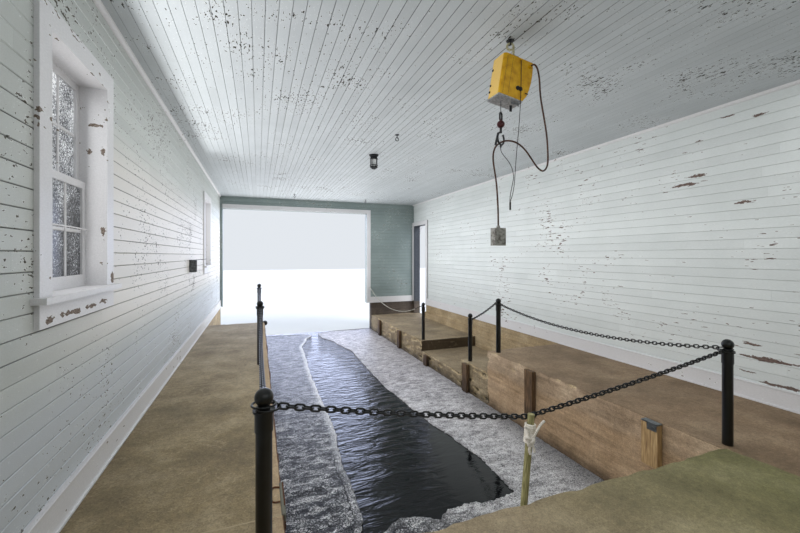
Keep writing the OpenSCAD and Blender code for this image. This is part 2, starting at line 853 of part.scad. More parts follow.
plate_t = 14;
plate_lip = 4;
bracket_x = 10;
bracket_in = 30;
bracket_w = 70;
bracket_t = 8;
bracket_lap = 6;

// Bright plate under the housing with a bracket and the rope hole
module hoist_plate() {
    color("#B8BAC0") along_hoist() difference() {
        union() {
            block([-hoist_w / 2 - plate_lip, -hoist_l / 2 - plate_lip, -hoist_h - plate_t],
                  [hoist_w / 2 - foot_cut[0], hoist_l / 2 + plate_lip, -hoist_h - seat_gap]);
            translate([bracket_x, -hoist_l / 2 + bracket_in, -hoist_h - 2 * plate_t])
                cube([bracket_w, bracket_t, plate_t + bracket_lap]);
        }
        translate([rope_local_x, 0, -hoist_h - 2 * plate_t])
            cylinder(h = 3 * plate_t, r = rope_wire / 2 + seat_gap);
    }
}

rope_wire = 6;
rope_x = -176;
rope_y = hoist_y + 2;
rope_local_x = -58;
rope_rise = 120;
thimble_top = 3433;

module hoist_rope() {
    color("#8A8A88") difference() {
        translate([rope_x, rope_y, thimble_top]) cylinder(h = rope_rise, d = rope_wire);
        along_hoist() block([-hoist_w, -hoist_l, -hoist_h - plate_t - seat_gap], [hoist_w, hoist_l, hoist_h]);
    }
}

thimble_wire = 13;
thimble_w = 42;
thimble_l = 74;
ball_r = 29;
load_ring_r = 46;
load_ring_wire = 14;
load_ring_turn = 25;
load_ring_z = thimble_top - load_hook_l + load_ring_r + load_ring_wire / 2;
load_ring_sweep = 318;
ball_sink = 8;
hook_neck_d = 18;
hook_neck_sink = 4;
latch_l = 104;
latch_d = 17;
latch_in = 8;
latch_up = 34;
latch_turn = 158;
knot_l = 24;
knot_d = 13;
knot_drop = 22;
cord_knot_z = load_ring_z - load_ring_r - knot_drop;

// Thimble, weight ball, open hook with its latch, and the knot of the cord below
module load_hook() {
    bend_r = (thimble_w - thimble_wire) / 2;
    ball_z = thimble_top - thimble_l - ball_r + ball_sink;
    color("#232022") translate([rope_x, rope_y, 0]) rotate(load_ring_turn) union() {
        translate([0, 0, thimble_top - thimble_l / 2]) rotate([0, 90, 0]) rotate([90, 0, 0])
            stadium_ring(thimble_l - thimble_w, bend_r, thimble_wire);
        translate([0, 0, ball_z]) sphere(r = ball_r);
        translate([0, 0, load_ring_z + load_ring_r - hook_neck_sink])
            cylinder(h = ball_z - load_ring_z - load_ring_r, d = hook_neck_d);
        translate([0, 0, load_ring_z]) rotate([90, 0, 0]) rotate(90)
            rotate_extrude(angle = load_ring_sweep) translate([load_ring_r, 0]) circle(d = load_ring_wire);
        translate([latch_in - load_ring_r, 0, load_ring_z + latch_up]) rotate([0, -latch_turn, 0])
            cylinder(h = latch_l, d = latch_d);
        translate([0, 0, cord_knot_z]) cylinder(h = knot_l, d = knot_d);
    }
}

cable_d = 13;
gland_l = 20;
gland_d = 30;
gland_tip_d = 20;
cable_over_hook = 4;
switch_top = [-183, hoist_y + 25, 2550];
cable_top = [31, front_face_y - gland_l, 3775];
cable_at_hook = load_ring_z - load_ring_r + (load_ring_wire + cable_d) / 2 + cable_over_hook;
cable_points = [cable_top, [31, -3170, 3775], [34, -3190, 3768], [48, -3203, 3735], [66, -3204, 3660],
                [79, -3200, 3537], [112, -3195, 3400], [143, -3190, 3272], [165, -3180, 3150],
                [175, -3170, 3057], [166, -3160, 3008], [140, -3150, 2990], [100, -3138, 3020],
                [60, -3125, 3080], [10, -3122, 3138], [-39, -3119, 3177], [-88, -3111, 3200],
                [-136, -3092, 3209], [rope_x, rope_y, cable_at_hook], [-201, -3032, 3172],
                [-213, -3020, 3122], [-215, -3022, 3060], [-208, -3029, 2990], [-196, -3037, 2880],
                [-186, -3040, 2720], [-183, -3040, 2600], switch_top + [0, 0, gland_l]];
module pendant_cable() {
    color("#4A2E22") tube(cable_points, cable_d);
}

switch_w = 96;
switch_t = 60;
boot_d = 34;
boot_tip_d = 22;
button_d = 26;
button_h = 10;
button_out = 4;
button_x = -20;
button_step = 40;
button_low = 30;

// Box with the cable's boot on top and two push buttons on its face
module switch_box() {
    color("#8E908E") translate(switch_top) union() {
        block([-switch_w / 2, -switch_t / 2, -switch_h], [switch_w / 2, switch_t / 2, 0]);
        translate([0, 0, -eps]) cylinder(h = gland_l + eps, d1 = boot_d, d2 = boot_tip_d);
        for (i = [0, 1])
            translate([button_x, -switch_t / 2 - button_out, i * button_step - switch_h / 2 - button_low])
                rotate([-90, 0, 0]) cylinder(h = button_h, d = button_d);
    }
}

cord_d = 5;
cord_sides = 8;
cord_out = 9;
cord_apart = 3;
staple_w = 12;
sleeve_d = 13;
sleeve_l = 56;
cord_y = front_face_y - cord_out;
sleeve_top = [-152, cord_y, 2735];
cord_points = [[-51, cord_y, 3806], [-51, cord_y, 3790], [-52, cord_y, 3720], [-55, cord_y, 3593],
               [-60, cord_y, 3480], [-68, cord_y, 3370], [-78, cord_y, 3260], [-90, cord_y, 3151],
               [-102, cord_y, 3030], [-110, cord_y, 2930], [-117, cord_y, 2860], [-132, cord_y, 2790],
               [-149, cord_y, 2748], sleeve_top + [cord_apart, 0, 0]];
return_points = [[rope_x, rope_y, cord_knot_z], [rope_x, rope_y, 3145], [-170, -3068, 3120],
                 [-152, -3084, 3085], [-132, -3108, 3040], [-121, -3128, 2990], [-120, cord_y + 2, 2930],
                 [-130, cord_y, 2880], [-142, cord_y, 2830], [-152, cord_y, 2780], [-155, cord_y, 2750],
                 sleeve_top - [cord_apart, 0, 0]];

module pull_cord() {
    color("#1E1A18") tube(cord_points, cord_d, cord_sides);
}

module return_cord() {
    color("#1E1A18") tube(return_points, cord_d, cord_sides);
}

// Sleeve that joins the two lower cord ends
module cord_sleeve() {
    color("#141415") translate(sleeve_top - [0, 0, sleeve_l]) cylinder(h = sleeve_l, d = sleeve_d);
}

light_x = -fittings_left;
light_y = -half_l + light_at;
light_foot = ceiling_z - light_h;
plate_h = 22;
collar_d = 112;
collar_h = 52;
jar_d = 84;
jar_l = 106;
cage_wire = 7;
cage_d = 104;
guard_wire = cage_wire + 2;
guard_rise = 26;
claw_l = 32;
claw_turn = 122;
small_ring_in = 26;
small_ring_drop = 18;
light_taper = 24;

// Flared base on the ceiling with the lamp holder and the wire guard under it
module light_base() {
    color("#232426") translate([light_x, light_y, 0]) union() {
        translate([0, 0, ceiling_z - plate_h])
            cylinder(h = plate_h, d1 = light_d - light_taper, d2 = light_d);
        translate([0, 0, ceiling_z - plate_h - collar_h]) cylinder(h = collar_h + eps, d = collar_d);
        for (turn = [45 : 90 : 315]) rotate(turn) translate([cage_d / 2, 0, light_foot + guard_rise]) {
            cylinder(h = light_h - guard_rise - plate_h - collar_h + eps, d = cage_wire);
            rotate([0, -claw_turn, 0]) cylinder(h = claw_l, d = cage_wire);
        }
        translate([0, 0, light_foot + guard_rise]) rotate_extrude()
            translate([cage_d / 2, 0]) circle(d = guard_wire);
        translate([0, 0, light_foot + guard_rise - small_ring_drop]) rotate_extrude()
            translate([cage_d / 2 - small_ring_in, 0]) circle(d = guard_wire);
    }
}

// Glass jar with a round foot, as one revolved outline
module light_globe() {
    color("#D8DADC") translate([light_x, light_y, ceiling_z - plate_h - collar_h - seat_gap])
        rotate_extrude() intersection() {
            union() {
                translate([0, jar_d / 2 - jar_l]) square([jar_d / 2, jar_l - jar_d / 2]);
                translate([0, jar_d / 2 - jar_l]) circle(d = jar_d);
            }
            translate([0, -jar_l]) square([jar_d, jar_l]);
        }
}

hook_at = [[-fittings_left, -half_l + 5490], [-980, half_l - 980], [1090, half_l - 665]];
hook_plate_d = 60;
hook_shank_d = 12;
hook_ring_r = 22;
hook_ring_wire = 10;
hook_drop = 40;
hook_plate_t = 4;
module ceiling_hooks() {
    color("#232426") {
        hoist_eye();
        for (p = hook_at) translate([p[0], p[1], ceiling_z]) union() {
            translate([0, 0, -hook_plate_t]) cylinder(h = hook_plate_t, d = hook_plate_d);
            translate([0, 0, -hook_drop]) cylinder(h = hook_drop, d = hook_shank_d);
            translate([0, 0, -hook_drop - hook_ring_r]) rotate([90, 0, 0])
                rotate_extrude() translate([hook_ring_r, 0]) circle(d = hook_ring_wire);
        }
    }
}

outlet_at = 7225;
outlet_z = near_z + 1260;
outlet_w = 100;
outlet_out = 92;
outlet_h = 190;
outlet_t = 6;
socket_in = [8, 20];
cover_reach = 150;
cover_turn = 4;
cover_lap = [4, 2];
cover_inset = 2;

// Open box on the left wall with its cover swung up and the socket inside it
module outlet_box() {
    in_w = outlet_w / 2 - outlet_t;
    in_h = outlet_h / 2 - outlet_t;
    color("#5C605F") translate([-half_w, -half_l + outlet_at, outlet_z]) union() {
        difference() {
            block([0, -outlet_w / 2, -outlet_h / 2], [outlet_out, outlet_w / 2, outlet_h / 2]);
            block([2 * outlet_t, -in_w, -in_h], [outlet_out + eps, in_w, in_h]);
        }
        block([outlet_t, socket_in[0] - in_w, socket_in[1] - in_h],
              [outlet_out / 3, in_w - socket_in[0], in_h - socket_in[1]]);
        translate([outlet_out - cover_lap[0], 0, outlet_h / 2 - cover_lap[1]]) rotate([0, -cover_turn, 0])
            block([0, cover_inset - outlet_w / 2, 0],
                  [cover_reach, outlet_w / 2 - cover_inset, outlet_t]);
    }
}

bumper_d = 104;
bumper_drop = 20;

// Round rubber bumper on the lake corner of the walkway's slip edge
module corner_bumper() {
    color(post_black) difference() {
        translate([slip_x0, walk_y, near_z - bumper_drop]) sphere(d = bumper_d);
        block([slip_x0 - bumper_d, walk_y - bumper_d, near_z - bumper_d],
              [slip_x0 + seat_gap, walk_y + seat_gap, near_z + seat_gap]);
    }
}

brace_foot_z = 3000;
brace_foot_h = 260;
brace_tip_h = 120;
brace_short = 60;
brace_w = 80;
brace_in = 60;

// Timber from the outer wall face up to the underside of the eave
module eave_brace(side) {
    reach = eave_out - brace_short;
    top = eave_z + (roof_run - out_x - reach) * tan(roof_pitch) - seat_gap;
    translate([0, side * (out_y - wall_t - brace_in) + brace_w / 2, 0]) rotate([90, 0, 0])
        linear_extrude(brace_w)
            polygon([[out_x, brace_foot_z], [out_x, brace_foot_z + brace_foot_h], [out_x + reach, top],
                     [out_x + reach, top - brace_tip_h]]);
}

module eave_braces() {
    color(trim_paint) for (side = [-1, 1]) {
        eave_brace(side);
        mirror([1, 0, 0]) eave_brace(side);
    }
}

left_chain();
front_chain();
right_chain();
left_walkway();
near_slab();
right_deck();
lower_step();
middle_landing();
far_landing();
left_foundation();
back_foundation();
right_foundation();
front_foundation();
left_wall();
back_wall();
right_wall();
door_head_wall();
front_wall();
front_post();
front_lintel();
ceiling();
ceiling_moulding();
baseboards();
left_roof();
right_roof();
ridge_cap();
gables();
eave_braces();
boat_opening_casing();
side_door_casing();
side_door_jamb();
window_casings();
window_jambs();
window_sashes();
window_glass();
left_bollards();
right_bollards();
corner_bumper();
chain_pole();
pole_lashing();
barrier_rope();
slip_fenders();
mooring_rings();
outlet_box();
hoist_hanger();
hoist_clevis();
hoist_body();
hoist_plate();
hoist_rope();
load_hook();
pendant_cable();
switch_box();
pull_cord();
return_cord();
cord_sleeve();
light_base();
light_globe();
ceiling_hooks();
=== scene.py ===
import bpy, bmesh, functools, math, random
from mathutils import Matrix, Vector, noise


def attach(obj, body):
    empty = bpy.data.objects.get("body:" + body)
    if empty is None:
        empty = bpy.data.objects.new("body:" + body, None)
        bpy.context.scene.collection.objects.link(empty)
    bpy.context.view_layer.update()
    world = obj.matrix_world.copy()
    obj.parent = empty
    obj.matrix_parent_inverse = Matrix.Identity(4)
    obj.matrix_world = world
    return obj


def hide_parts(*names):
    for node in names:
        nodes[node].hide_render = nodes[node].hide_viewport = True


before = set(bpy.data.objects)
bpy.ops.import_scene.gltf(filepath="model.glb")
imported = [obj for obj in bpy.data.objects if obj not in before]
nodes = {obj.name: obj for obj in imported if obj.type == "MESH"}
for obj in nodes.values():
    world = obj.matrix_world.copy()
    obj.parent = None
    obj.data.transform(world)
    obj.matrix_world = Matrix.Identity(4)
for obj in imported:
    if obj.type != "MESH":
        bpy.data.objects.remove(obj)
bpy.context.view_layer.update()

# Viewpoint: eye height of a standing person near the back wall, on the left of the room,
# looking along the slip towards the boat opening through a wide lens held level.
lens = bpy.data.cameras.new("viewpoint")
lens.lens = 17.1
lens.sensor_width = 36
lens.shift_y = -0.0136
lens.clip_start = 0.02
lens.clip_end = 400
viewpoint = bpy.data.objects.new("viewpoint", lens)
viewpoint.location = (-1.905, -5.5, 2.34)
viewpoint.rotation_euler = (math.radians(90), 0, math.radians(-20.5))
bpy.context.scene.collection.objects.link(viewpoint)
bpy.context.scene.camera = viewpoint

# Barrier rope: three laid strands of light synthetic rope that hang across the far landing,
# from an eye on the opening's casing to a stub on the last right bollard.
rope_route = [(1.390, 6.054, 1.346), (1.390, 6.038, 1.346), (1.404, 5.800, 1.252), (1.412, 5.620, 1.170),
              (1.436, 5.120, 1.020), (1.458, 4.660, 0.935), (1.480, 4.190, 0.898), (1.502, 3.730, 0.905),
              (1.524, 3.260, 0.960), (1.545, 2.830, 1.060), (1.560, 2.520, 1.160), (1.570, 2.374, 1.207),
              (1.570, 2.358, 1.207)]


def smooth_route(points, parts):
    # Curve through the given points, the same one that the CAD tube follows
    last = len(points) - 1
    route = []
    for i in range(last):
        a, b, c, d = (Vector(points[j]) for j in (max(i - 1, 0), i, i + 1, min(i + 2, last)))
        for k in range(parts):
            t = k / parts
            route.append(0.5 * (2 * b + (c - a) * t + (2 * a - 5 * b + 4 * c - d) * t * t
                                + (3 * b - a - 3 * c + d) * t ** 3))
    return route + [Vector(points[last])]


def linear(colour):
    # sRGB hex to the linear colour that shader sockets take
    parts = [int(colour[i:i + 2], 16) / 255 for i in (1, 3, 5)]
    return tuple(v / 12.92 if v < 0.04045 else ((v + 0.055) / 1.055) ** 2.4 for v in parts) + (1,)


def connect(material, source, socket):
    # Links a node's output to a socket, or sets the socket to a number or an sRGB hex
    node, output = source if isinstance(source, tuple) and hasattr(source[0], "outputs") else (source, None)
    if not hasattr(node, "outputs"):
        socket.default_value = linear(source) if isinstance(source, str) else source
        return
    if output is None:
        output = 2 if node.bl_idname in ("ShaderNodeMix", "ShaderNodeAttribute") else 0
    material.node_tree.links.new(node.outputs[output], socket)


def drive(material, **sources):
    # Values of the material's one surface shader, and nodes linked to it
    surface = material.node_tree.nodes["Principled BSDF"]
    for name, source in sources.items():
        connect(material, source, surface.inputs[name.replace("_", " ")])


def add_node(material, kind, *inputs, ramp=(), **named):
    # One node: inputs in the order of its sockets, sockets by their names in capitals, settings in
    # small letters; a colour ramp has stops of place and colour
    node = material.node_tree.nodes.new("ShaderNode" + kind)
    order = (0, 1, 2, 3, 4)
    if kind == "Mix":
        node.data_type = "RGBA"
        order = (0, 6, 7)
    sockets = dict(zip(order, inputs))
    for key, value in named.items():
        if key[0].isupper():
            sockets[key.replace("_", " ")] = value
        else:
            setattr(node, key, value)
    if ramp:
        stops = node.color_ramp.elements
        while len(stops) < len(ramp):
            stops.new(0.5)
        for stop, (place, colour) in zip(stops, ramp):
            stop.position = place
            stop.color = linear(colour) if isinstance(colour, str) else (colour, colour, colour, 1)
    for key, source in sockets.items():
        connect(material, source, node.inputs[key])
    return node


def new_material(name, **sockets):
    # A named material, whose constant values sit on its shader, with the place in the building and
    # the function that adds its nodes
    material = bpy.data.materials.new(name)
    material.use_nodes = True
    drive(material, **sockets)
    add = functools.partial(add_node, material)
    return material, (add("TexCoord"), "Object"), add


def dress(material, *names):
    # Gives a material to CAD nodes whose shape stays
    for name in names:
        mesh = nodes[name].data
        mesh.materials.clear()
        mesh.materials.append(material)


def join_building(piece, node=None):
    # A finished object rides with the building, and may take the place of a CAD node
    bpy.context.scene.collection.objects.link(piece)
    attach(piece, "root")
    if node:
        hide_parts(node)
    return piece


def finish_piece(name, form, material, node=None, smooth=False):
    # Makes a bmesh an object at the origin
    bmesh.ops.recalc_face_normals(form, faces=form.faces)
    for face in form.faces:
        face.smooth = smooth
    mesh = bpy.data.meshes.new(name)
    form.to_mesh(mesh)
    form.free()
    mesh.materials.append(material)
    return join_building(bpy.data.objects.new(name, mesh), node)


def cord_piece(name, route, width, material, node):
    # A round cord as a curve of one open spline
    line = bpy.data.curves.new(name, "CURVE")
    line.dimensions = "3D"
    line.bevel_depth = width / 2
    line.bevel_resolution = 3
    line.use_fill_caps = True
    spline = line.splines.new("POLY")
    spline.points.add(len(route) - 1)
    for point, place in zip(spline.points, route):
        point.co = (*place, 1)
    line.materials.append(material)
    return join_building(bpy.data.objects.new(name, line), node)


def strand_tube(form, route, radius, sides, turn=0.0, pitch=0.0, offset=0.0):
    # Sweeps a ring along a route; with a pitch the strand winds round the route at an offset
    rings = []
    travelled = 0.0
    for i, place in enumerate(route):
        ahead = (route[min(i + 1, len(route) - 1)] - route[max(i - 1, 0)]).normalized()
        if i:
            travelled += (place - route[i - 1]).length
        side = ahead.cross(Vector((0, 0, 1)) if abs(ahead.z) < 0.9 else Vector((0, 1, 0))).normalized()
        up = side.cross(ahead).normalized()
        angle = turn + (travelled / pitch * math.tau if pitch else 0.0)
        centre = place + offset * (math.cos(angle) * side + math.sin(angle) * up)
        rings.append([form.verts.new(centre + radius * (math.cos(k * math.tau / sides) * side
                                                        + math.sin(k * math.tau / sides) * up))
                      for k in range(sides)])
    for a, b in zip(rings, rings[1:]):
        for k in range(sides):
            form.faces.new((a[k], a[(k + 1) % sides], b[(k + 1) % sides], b[k]))
    form.faces.new(rings[0])
    form.faces.new(reversed(rings[-1]))


def fine_route(route, step):
    # Even points along a route, a few millimetres apart
    points = [route[0]]
    for a, b in zip(route, route[1:]):
        parts = max(1, round((b - a).length / step))
        points += [a.lerp(b, k / parts) for k in range(1, parts + 1)]
    return points


# Laid polypropylene rope: matte, dirty off white, darker between the fibres and towards its black end
rope_fibre, place, add = new_material("laid_rope", Roughness=0.85)
fuzz = add("TexNoise", place, Scale=900.0, Detail=3.0)
dirt = add("TexNoise", place, Scale=9.0, Detail=4.0)
tone = add("ValToRGB", dirt, ramp=[(0.3, "#8F8C80"), (0.6, "#C8C6BC")])
thin = add("Math", fuzz, 0.6, operation="MULTIPLY")
spot = add("SeparateXYZ", place)
taped = add("Math", (spot, "Y"), 2.74, operation="LESS_THAN")
wrapped = add("Mix", taped, tone, "#17171A")
lint = add("Mix", thin, wrapped, "#6E6B60")
grain = add("Bump", Height=fuzz, Strength=0.5, Distance=0.001)
drive(rope_fibre, Base_Color=lint, Normal=grain)

rope_path = [Vector(rope_route[0])] + smooth_route(rope_route[1:12], 2) + [Vector(rope_route[12])]
form = bmesh.new()
dense = fine_route(rope_path, 0.009)
for strand in range(3):
    strand_tube(form, dense, 0.0052, 6, turn=strand * math.tau / 3, pitch=0.07, offset=0.0049)
barrier = finish_piece("barrier_rope_laid", form, rope_fibre, "barrier_rope")

# Pendant cable: dark brown rubber lead, 13 mm thick, from the gland on the hoist's front face,
# through the load hook and down to the switch box that hangs on it.
cable_route = [(0.031, -3.1565, 3.775), (0.031, -3.170, 3.775), (0.034, -3.190, 3.768), (0.048, -3.203, 3.735),
               (0.066, -3.204, 3.660), (0.079, -3.200, 3.537), (0.112, -3.195, 3.400), (0.143, -3.190, 3.272),
               (0.165, -3.180, 3.150), (0.175, -3.170, 3.057), (0.166, -3.160, 3.008), (0.140, -3.150, 2.990),
               (0.100, -3.138, 3.020), (0.060, -3.125, 3.080), (0.010, -3.122, 3.138), (-0.039, -3.119, 3.177),
               (-0.088, -3.111, 3.200), (-0.136, -3.092, 3.209), (-0.176, -3.063, 3.2005),
               (-0.201, -3.032, 3.172), (-0.213, -3.020, 3.122), (-0.215, -3.022, 3.060),
               (-0.208, -3.029, 2.990), (-0.196, -3.037, 2.880), (-0.186, -3.040, 2.720),
               (-0.183, -3.040, 2.600), (-0.183, -3.040, 2.570)]


def mottled(name, scale, detail, tones, relief=None, **sockets):
    # A finish whose one cloudy pattern gives its tones and, with a strength and a depth, its relief
    material, place, add = new_material(name, **sockets)
    mottle = add("TexNoise", place, Scale=scale, Detail=detail)
    drive(material, Base_Color=add("ValToRGB", mottle, ramp=tones))
    if relief:
        strength, depth = relief
        drive(material, Normal=add("Bump", Height=mottle, Strength=strength, Distance=depth))
    return material


# Vulcanised rubber: dull dark brown, scuffed paler where hands and the hook rub it
cable_rubber = mottled("cable_rubber", 60.0, 5.0, [(0.35, "#2A1A14"), (0.55, "#4A2E20"), (0.75, "#6A4A34")],
                       (0.3, 0.001), Roughness=0.5)
cable_path = smooth_route(cable_route, 3)
cable = cord_piece("pendant_cable_sheath", cable_path, 0.013, cable_rubber, "pendant_cable")

# Pull cord: thin black braided line from the staple down to the sleeve, and its return from the
# stub under the load hook into the same sleeve.
cord_route = [(-0.051, -3.1455, 3.806), (-0.051, -3.1455, 3.790), (-0.052, -3.1455, 3.720),
              (-0.055, -3.1455, 3.593), (-0.060, -3.1455, 3.480), (-0.068, -3.1455, 3.370),
              (-0.078, -3.1455, 3.260), (-0.090, -3.1455, 3.151), (-0.102, -3.1455, 3.030),
              (-0.110, -3.1455, 2.930), (-0.117, -3.1455, 2.860), (-0.132, -3.1455, 2.790),
              (-0.149, -3.1455, 2.748), (-0.149, -3.1455, 2.735)]
return_route = [(-0.176, -3.063, 3.161), (-0.176, -3.063, 3.145), (-0.170, -3.068, 3.120),
                (-0.152, -3.084, 3.085), (-0.132, -3.108, 3.040), (-0.121, -3.128, 2.990),
                (-0.120, -3.1435, 2.930), (-0.130, -3.1455, 2.880), (-0.142, -3.1455, 2.830),
                (-0.152, -3.1455, 2.780), (-0.155, -3.1455, 2.750), (-0.155, -3.1455, 2.735)]
cord_braid, place, add = new_material("black_braid", Roughness=0.7)
weave = add("TexWave", place, Scale=160.0, Distortion=2.0, bands_direction="DIAGONAL")
tone = add("ValToRGB", weave, ramp=[(0.2, "#141210"), (0.8, "#2E2824")])
ribs = add("Bump", Height=(weave, "Fac"), Strength=0.4, Distance=0.0006)
drive(cord_braid, Base_Color=tone, Normal=ribs)
for name, node, route, far_end, ends in (
        ("pull_cord_braid", "pull_cord", cord_route, "fitting", {"with_pieces": ["cord_sleeve"]}),
        ("return_cord_braid", "return_cord", return_route, "object", {})):
    path = smooth_route(route, 2)
    cord = cord_piece(name, path, 0.005, cord_braid, node)
dress(cord_braid, "cord_sleeve")

# Switch box: pressed steel box with two push buttons on its face, grey paint worn to brown.
dress(mottled("worn_grey_paint", 45.0, 6.0, [(0.35, "#5E5A54"), (0.5, "#8E8C86"), (0.75, "#A5A49E")],
              (0.2, 0.0008), Roughness=0.45, Metallic=0.2), "switch_box")

# Concrete base: cast foundations, walkway, deck, steps and landings, weathered, with board marks,
# worn slip edges and a darker band where the water rises.
half_w, half_l, near_z, right_z, ceiling_z = 2.89, 6.1, 0.92, 0.85, 3.995
slip_left, slip_right, near_y, walk_y = -1.765, 1.455, -3.7, 3.12
deck_y, step_y, landing_y = -0.4, 0.46, 2.19


def concrete(name, tones, grit, joints=(), further=None, lines=(), veins=0.0, strip=None, foot=None, top=None,
             riser=None, outside=None):
    # Cast concrete: cloudy tone that changes along the building, fine aggregate, wet foot, joints across
    # it, form lines round it, and worn parts ("worn" on the points) that show pale stone and dark pits
    material, place, add = new_material(name, Roughness=0.78)
    where = add("SeparateXYZ", place)
    cloud = add("TexNoise", place, Scale=2.2, Detail=8.0, Roughness=0.62)
    colour = add("ValToRGB", cloud, ramp=list(zip((0.3, 0.5, 0.72), tones)))
    if further:
        axis, start, end, others = further
        far = add("ValToRGB", cloud, ramp=list(zip((0.3, 0.5, 0.72), others)))
        drift = add("MapRange", (where, axis), start, end)
        colour = add("Mix", drift, colour, far)
    if foot:
        level, stain, amount = foot
        edge = add("Math", cloud, -0.3, (where, "Z"), operation="MULTIPLY_ADD")
        under = add("MapRange", edge, level - 0.2, level - 0.12, amount, 0.0)
        colour = add("Mix", under, colour, stain)
    if outside:
        reach_out = add("Math", (where, outside[0]), operation="ABSOLUTE")
        weather = add("Math", reach_out, outside[1], operation="GREATER_THAN")
        grey = add("ValToRGB", cloud, ramp=[(0.3, "#7C776A"), (0.5, "#918C7F"), (0.72, "#A6A194")])
        colour = add("Mix", weather, colour, grey)
    # Painted shade: a darker band on the backlit riser face at the given place along the room
    if riser:
        riser_shadow = add("Math", (where, "Y"), riser, 0.014, operation="COMPARE")
        colour = add("Mix", riser_shadow, colour, "#7E766C", blend_type="MULTIPLY")
    # Painted shade: top faces above the given level are drawn darker than the faces under them
    if top:
        level, top_shade_tone = top
        shaded_top = add("Math", (where, "Z"), level - 0.006, operation="GREATER_THAN")
        colour = add("Mix", shaded_top, colour, top_shade_tone, blend_type="MULTIPLY")
    # A paler band along the top edge, and a painted shadow on the face over the slip with a ragged edge
    if strip:
        inner, outer, top_tone, rim_shade_tone = strip
        band = add("Math", (where, "X"), inner, operation="GREATER_THAN")
        colour = add("Mix", band, colour, top_tone)
        crumbs = add("Math", cloud, 0.03, (where, "X"), operation="MULTIPLY_ADD")
        rim = add("Math", crumbs, outer, operation="GREATER_THAN")
        colour = add("Mix", rim, colour, rim_shade_tone)
    if veins:
        swirl = add("TexNoise", place, Scale=1.3, Detail=7.0, Distortion=2.2)
        thread = add("Math", swirl, 0.5, 0.006, operation="COMPARE")
        faint = add("Math", thread, veins, operation="MULTIPLY")
        colour = add("Mix", faint, colour, tones[2])
    # Aggregate of 4 to 8 mm
    pebble = add("TexVoronoi", place, Scale=grit)
    speck = add("ValToRGB", (pebble, "Color"), ramp=[(0.0, 0.66), (0.55, 1.0), (1.0, 1.25)])
    gritty = add("Mix", 0.75, colour, speck, blend_type="MULTIPLY")
    blotch = add("TexNoise", place, Scale=26.0, Detail=7.0, Roughness=0.7)
    speckled = add("MapRange", blotch, 0.32, 0.68, 0.8, 1.16)
    gritty = add("Mix", 1.0, gritty, speckled, blend_type="MULTIPLY")
    flat = add("Mapping", place, Scale=(0.12, 0.12, 2.6))
    pours = add("TexNoise", flat, Scale=9.0, Detail=6.0, Roughness=0.7)
    layered = add("MapRange", pours, 0.34, 0.66, 0.78, 1.16)
    gritty = add("Mix", 1.0, gritty, layered, blend_type="MULTIPLY")
    # Worn parts: pale stone, then dark hollows
    worn = add("Attribute", attribute_name="worn")
    loose = add("TexNoise", place, Scale=24.0, Detail=4.0)
    eaten = add("Math", loose, 0.5, worn, operation="MULTIPLY_ADD")
    bare = add("MapRange", eaten, 0.6, 0.74, To_Max=0.8)
    hollow = add("MapRange", eaten, 0.85, 1.1, To_Max=0.85)
    stone = add("ValToRGB", (pebble, "Color"), ramp=[(0.1, "#8A7452"), (0.5, "#B9A47E"), (0.9, "#D8C8A4")])
    stony = add("Mix", bare, gritty, stone)
    pitted = add("Mix", hollow, stony, "#2E2418")
    # Damp, dark foot over the water line
    edge = add("Math", cloud, 0.25, (where, "Z"), operation="MULTIPLY_ADD")
    damp = add("MapRange", edge, 0.14, 0.3, 0.3, 1.0)
    colour = add("Mix", 1.0, pitted, damp, blend_type="MULTIPLY")
    waver = add("Math", cloud, 0.05, (where, "Y"), operation="MULTIPLY_ADD")
    for at in joints:
        cross = add("Math", waver, at + 0.025, 0.005, operation="COMPARE")
        colour = add("Mix", cross, colour, tones[2])
    for at in lines:
        ledge = add("Math", (where, "Z"), at, 0.004, operation="COMPARE")
        shade = add("Math", ledge, 0.45, operation="MULTIPLY")
        colour = add("Mix", shade, colour, tones[0])
    height = add("Math", blotch, 3.0, pebble, operation="MULTIPLY_ADD")
    rough = add("Bump", Height=height, Strength=0.5, Distance=0.003)
    drive(material, Base_Color=colour, Normal=rough)
    return material


def eroded_block(form, lo, hi, cell, worn):
    # A cast block as a fine grid whose worn faces and edges are eaten inwards, never outwards; a
    # pair of depths changes from the near end to the far end
    shell = bmesh.new()
    bmesh.ops.create_cube(shell, size=1)
    size = [b - a for a, b in zip(lo, hi)]
    bmesh.ops.scale(shell, vec=size, verts=shell.verts)
    bmesh.ops.translate(shell, vec=[(a + b) / 2 for a, b in zip(lo, hi)], verts=shell.verts)
    for axis in range(3):
        along = [e for e in shell.edges if abs((e.verts[0].co - e.verts[1].co)[axis]) > 0.9 * size[axis]]
        bmesh.ops.subdivide_edges(shell, edges=along, cuts=max(1, round(size[axis] / cell)), use_grid_fill=True)
    gone = shell.verts.layers.float.new("worn")
    for v in shell.verts:
        eaten = Vector((0, 0, 0))
        rim = 0
        for axis, side, depth in worn:
            near, far = depth if isinstance(depth, tuple) else (depth, depth)
            depth = near + (far - near) * (v.co.y - lo[1]) / size[1]
            face = hi[axis] if side > 0 else lo[axis]
            gap = abs(v.co[axis] - face)
            if gap < 1e-4:
                rim += 1
                rough = noise.fractal(v.co * 5.0, 0.8, 2.1, 4)
                pit = max(0.0, noise.noise(Vector((v.co.x, v.co.y * 0.6, v.co.z * 1.8)) * 8.0) - 0.05)
                eaten[axis] -= side * depth * (0.25 + 0.6 * abs(rough) + 1.9 * pit)
        if rim > 1:
            eaten *= 1.5 + 3.0 * max(0.0, noise.noise(v.co * 9.0))
        if v.co.z > 0.001:
            v.co += eaten
            v[gone] = min(1.0, eaten.length / 0.055)
    shell_mesh = bpy.data.meshes.new("shell")
    shell.to_mesh(shell_mesh)
    shell.free()
    form.from_mesh(shell_mesh)
    bpy.data.meshes.remove(shell_mesh)
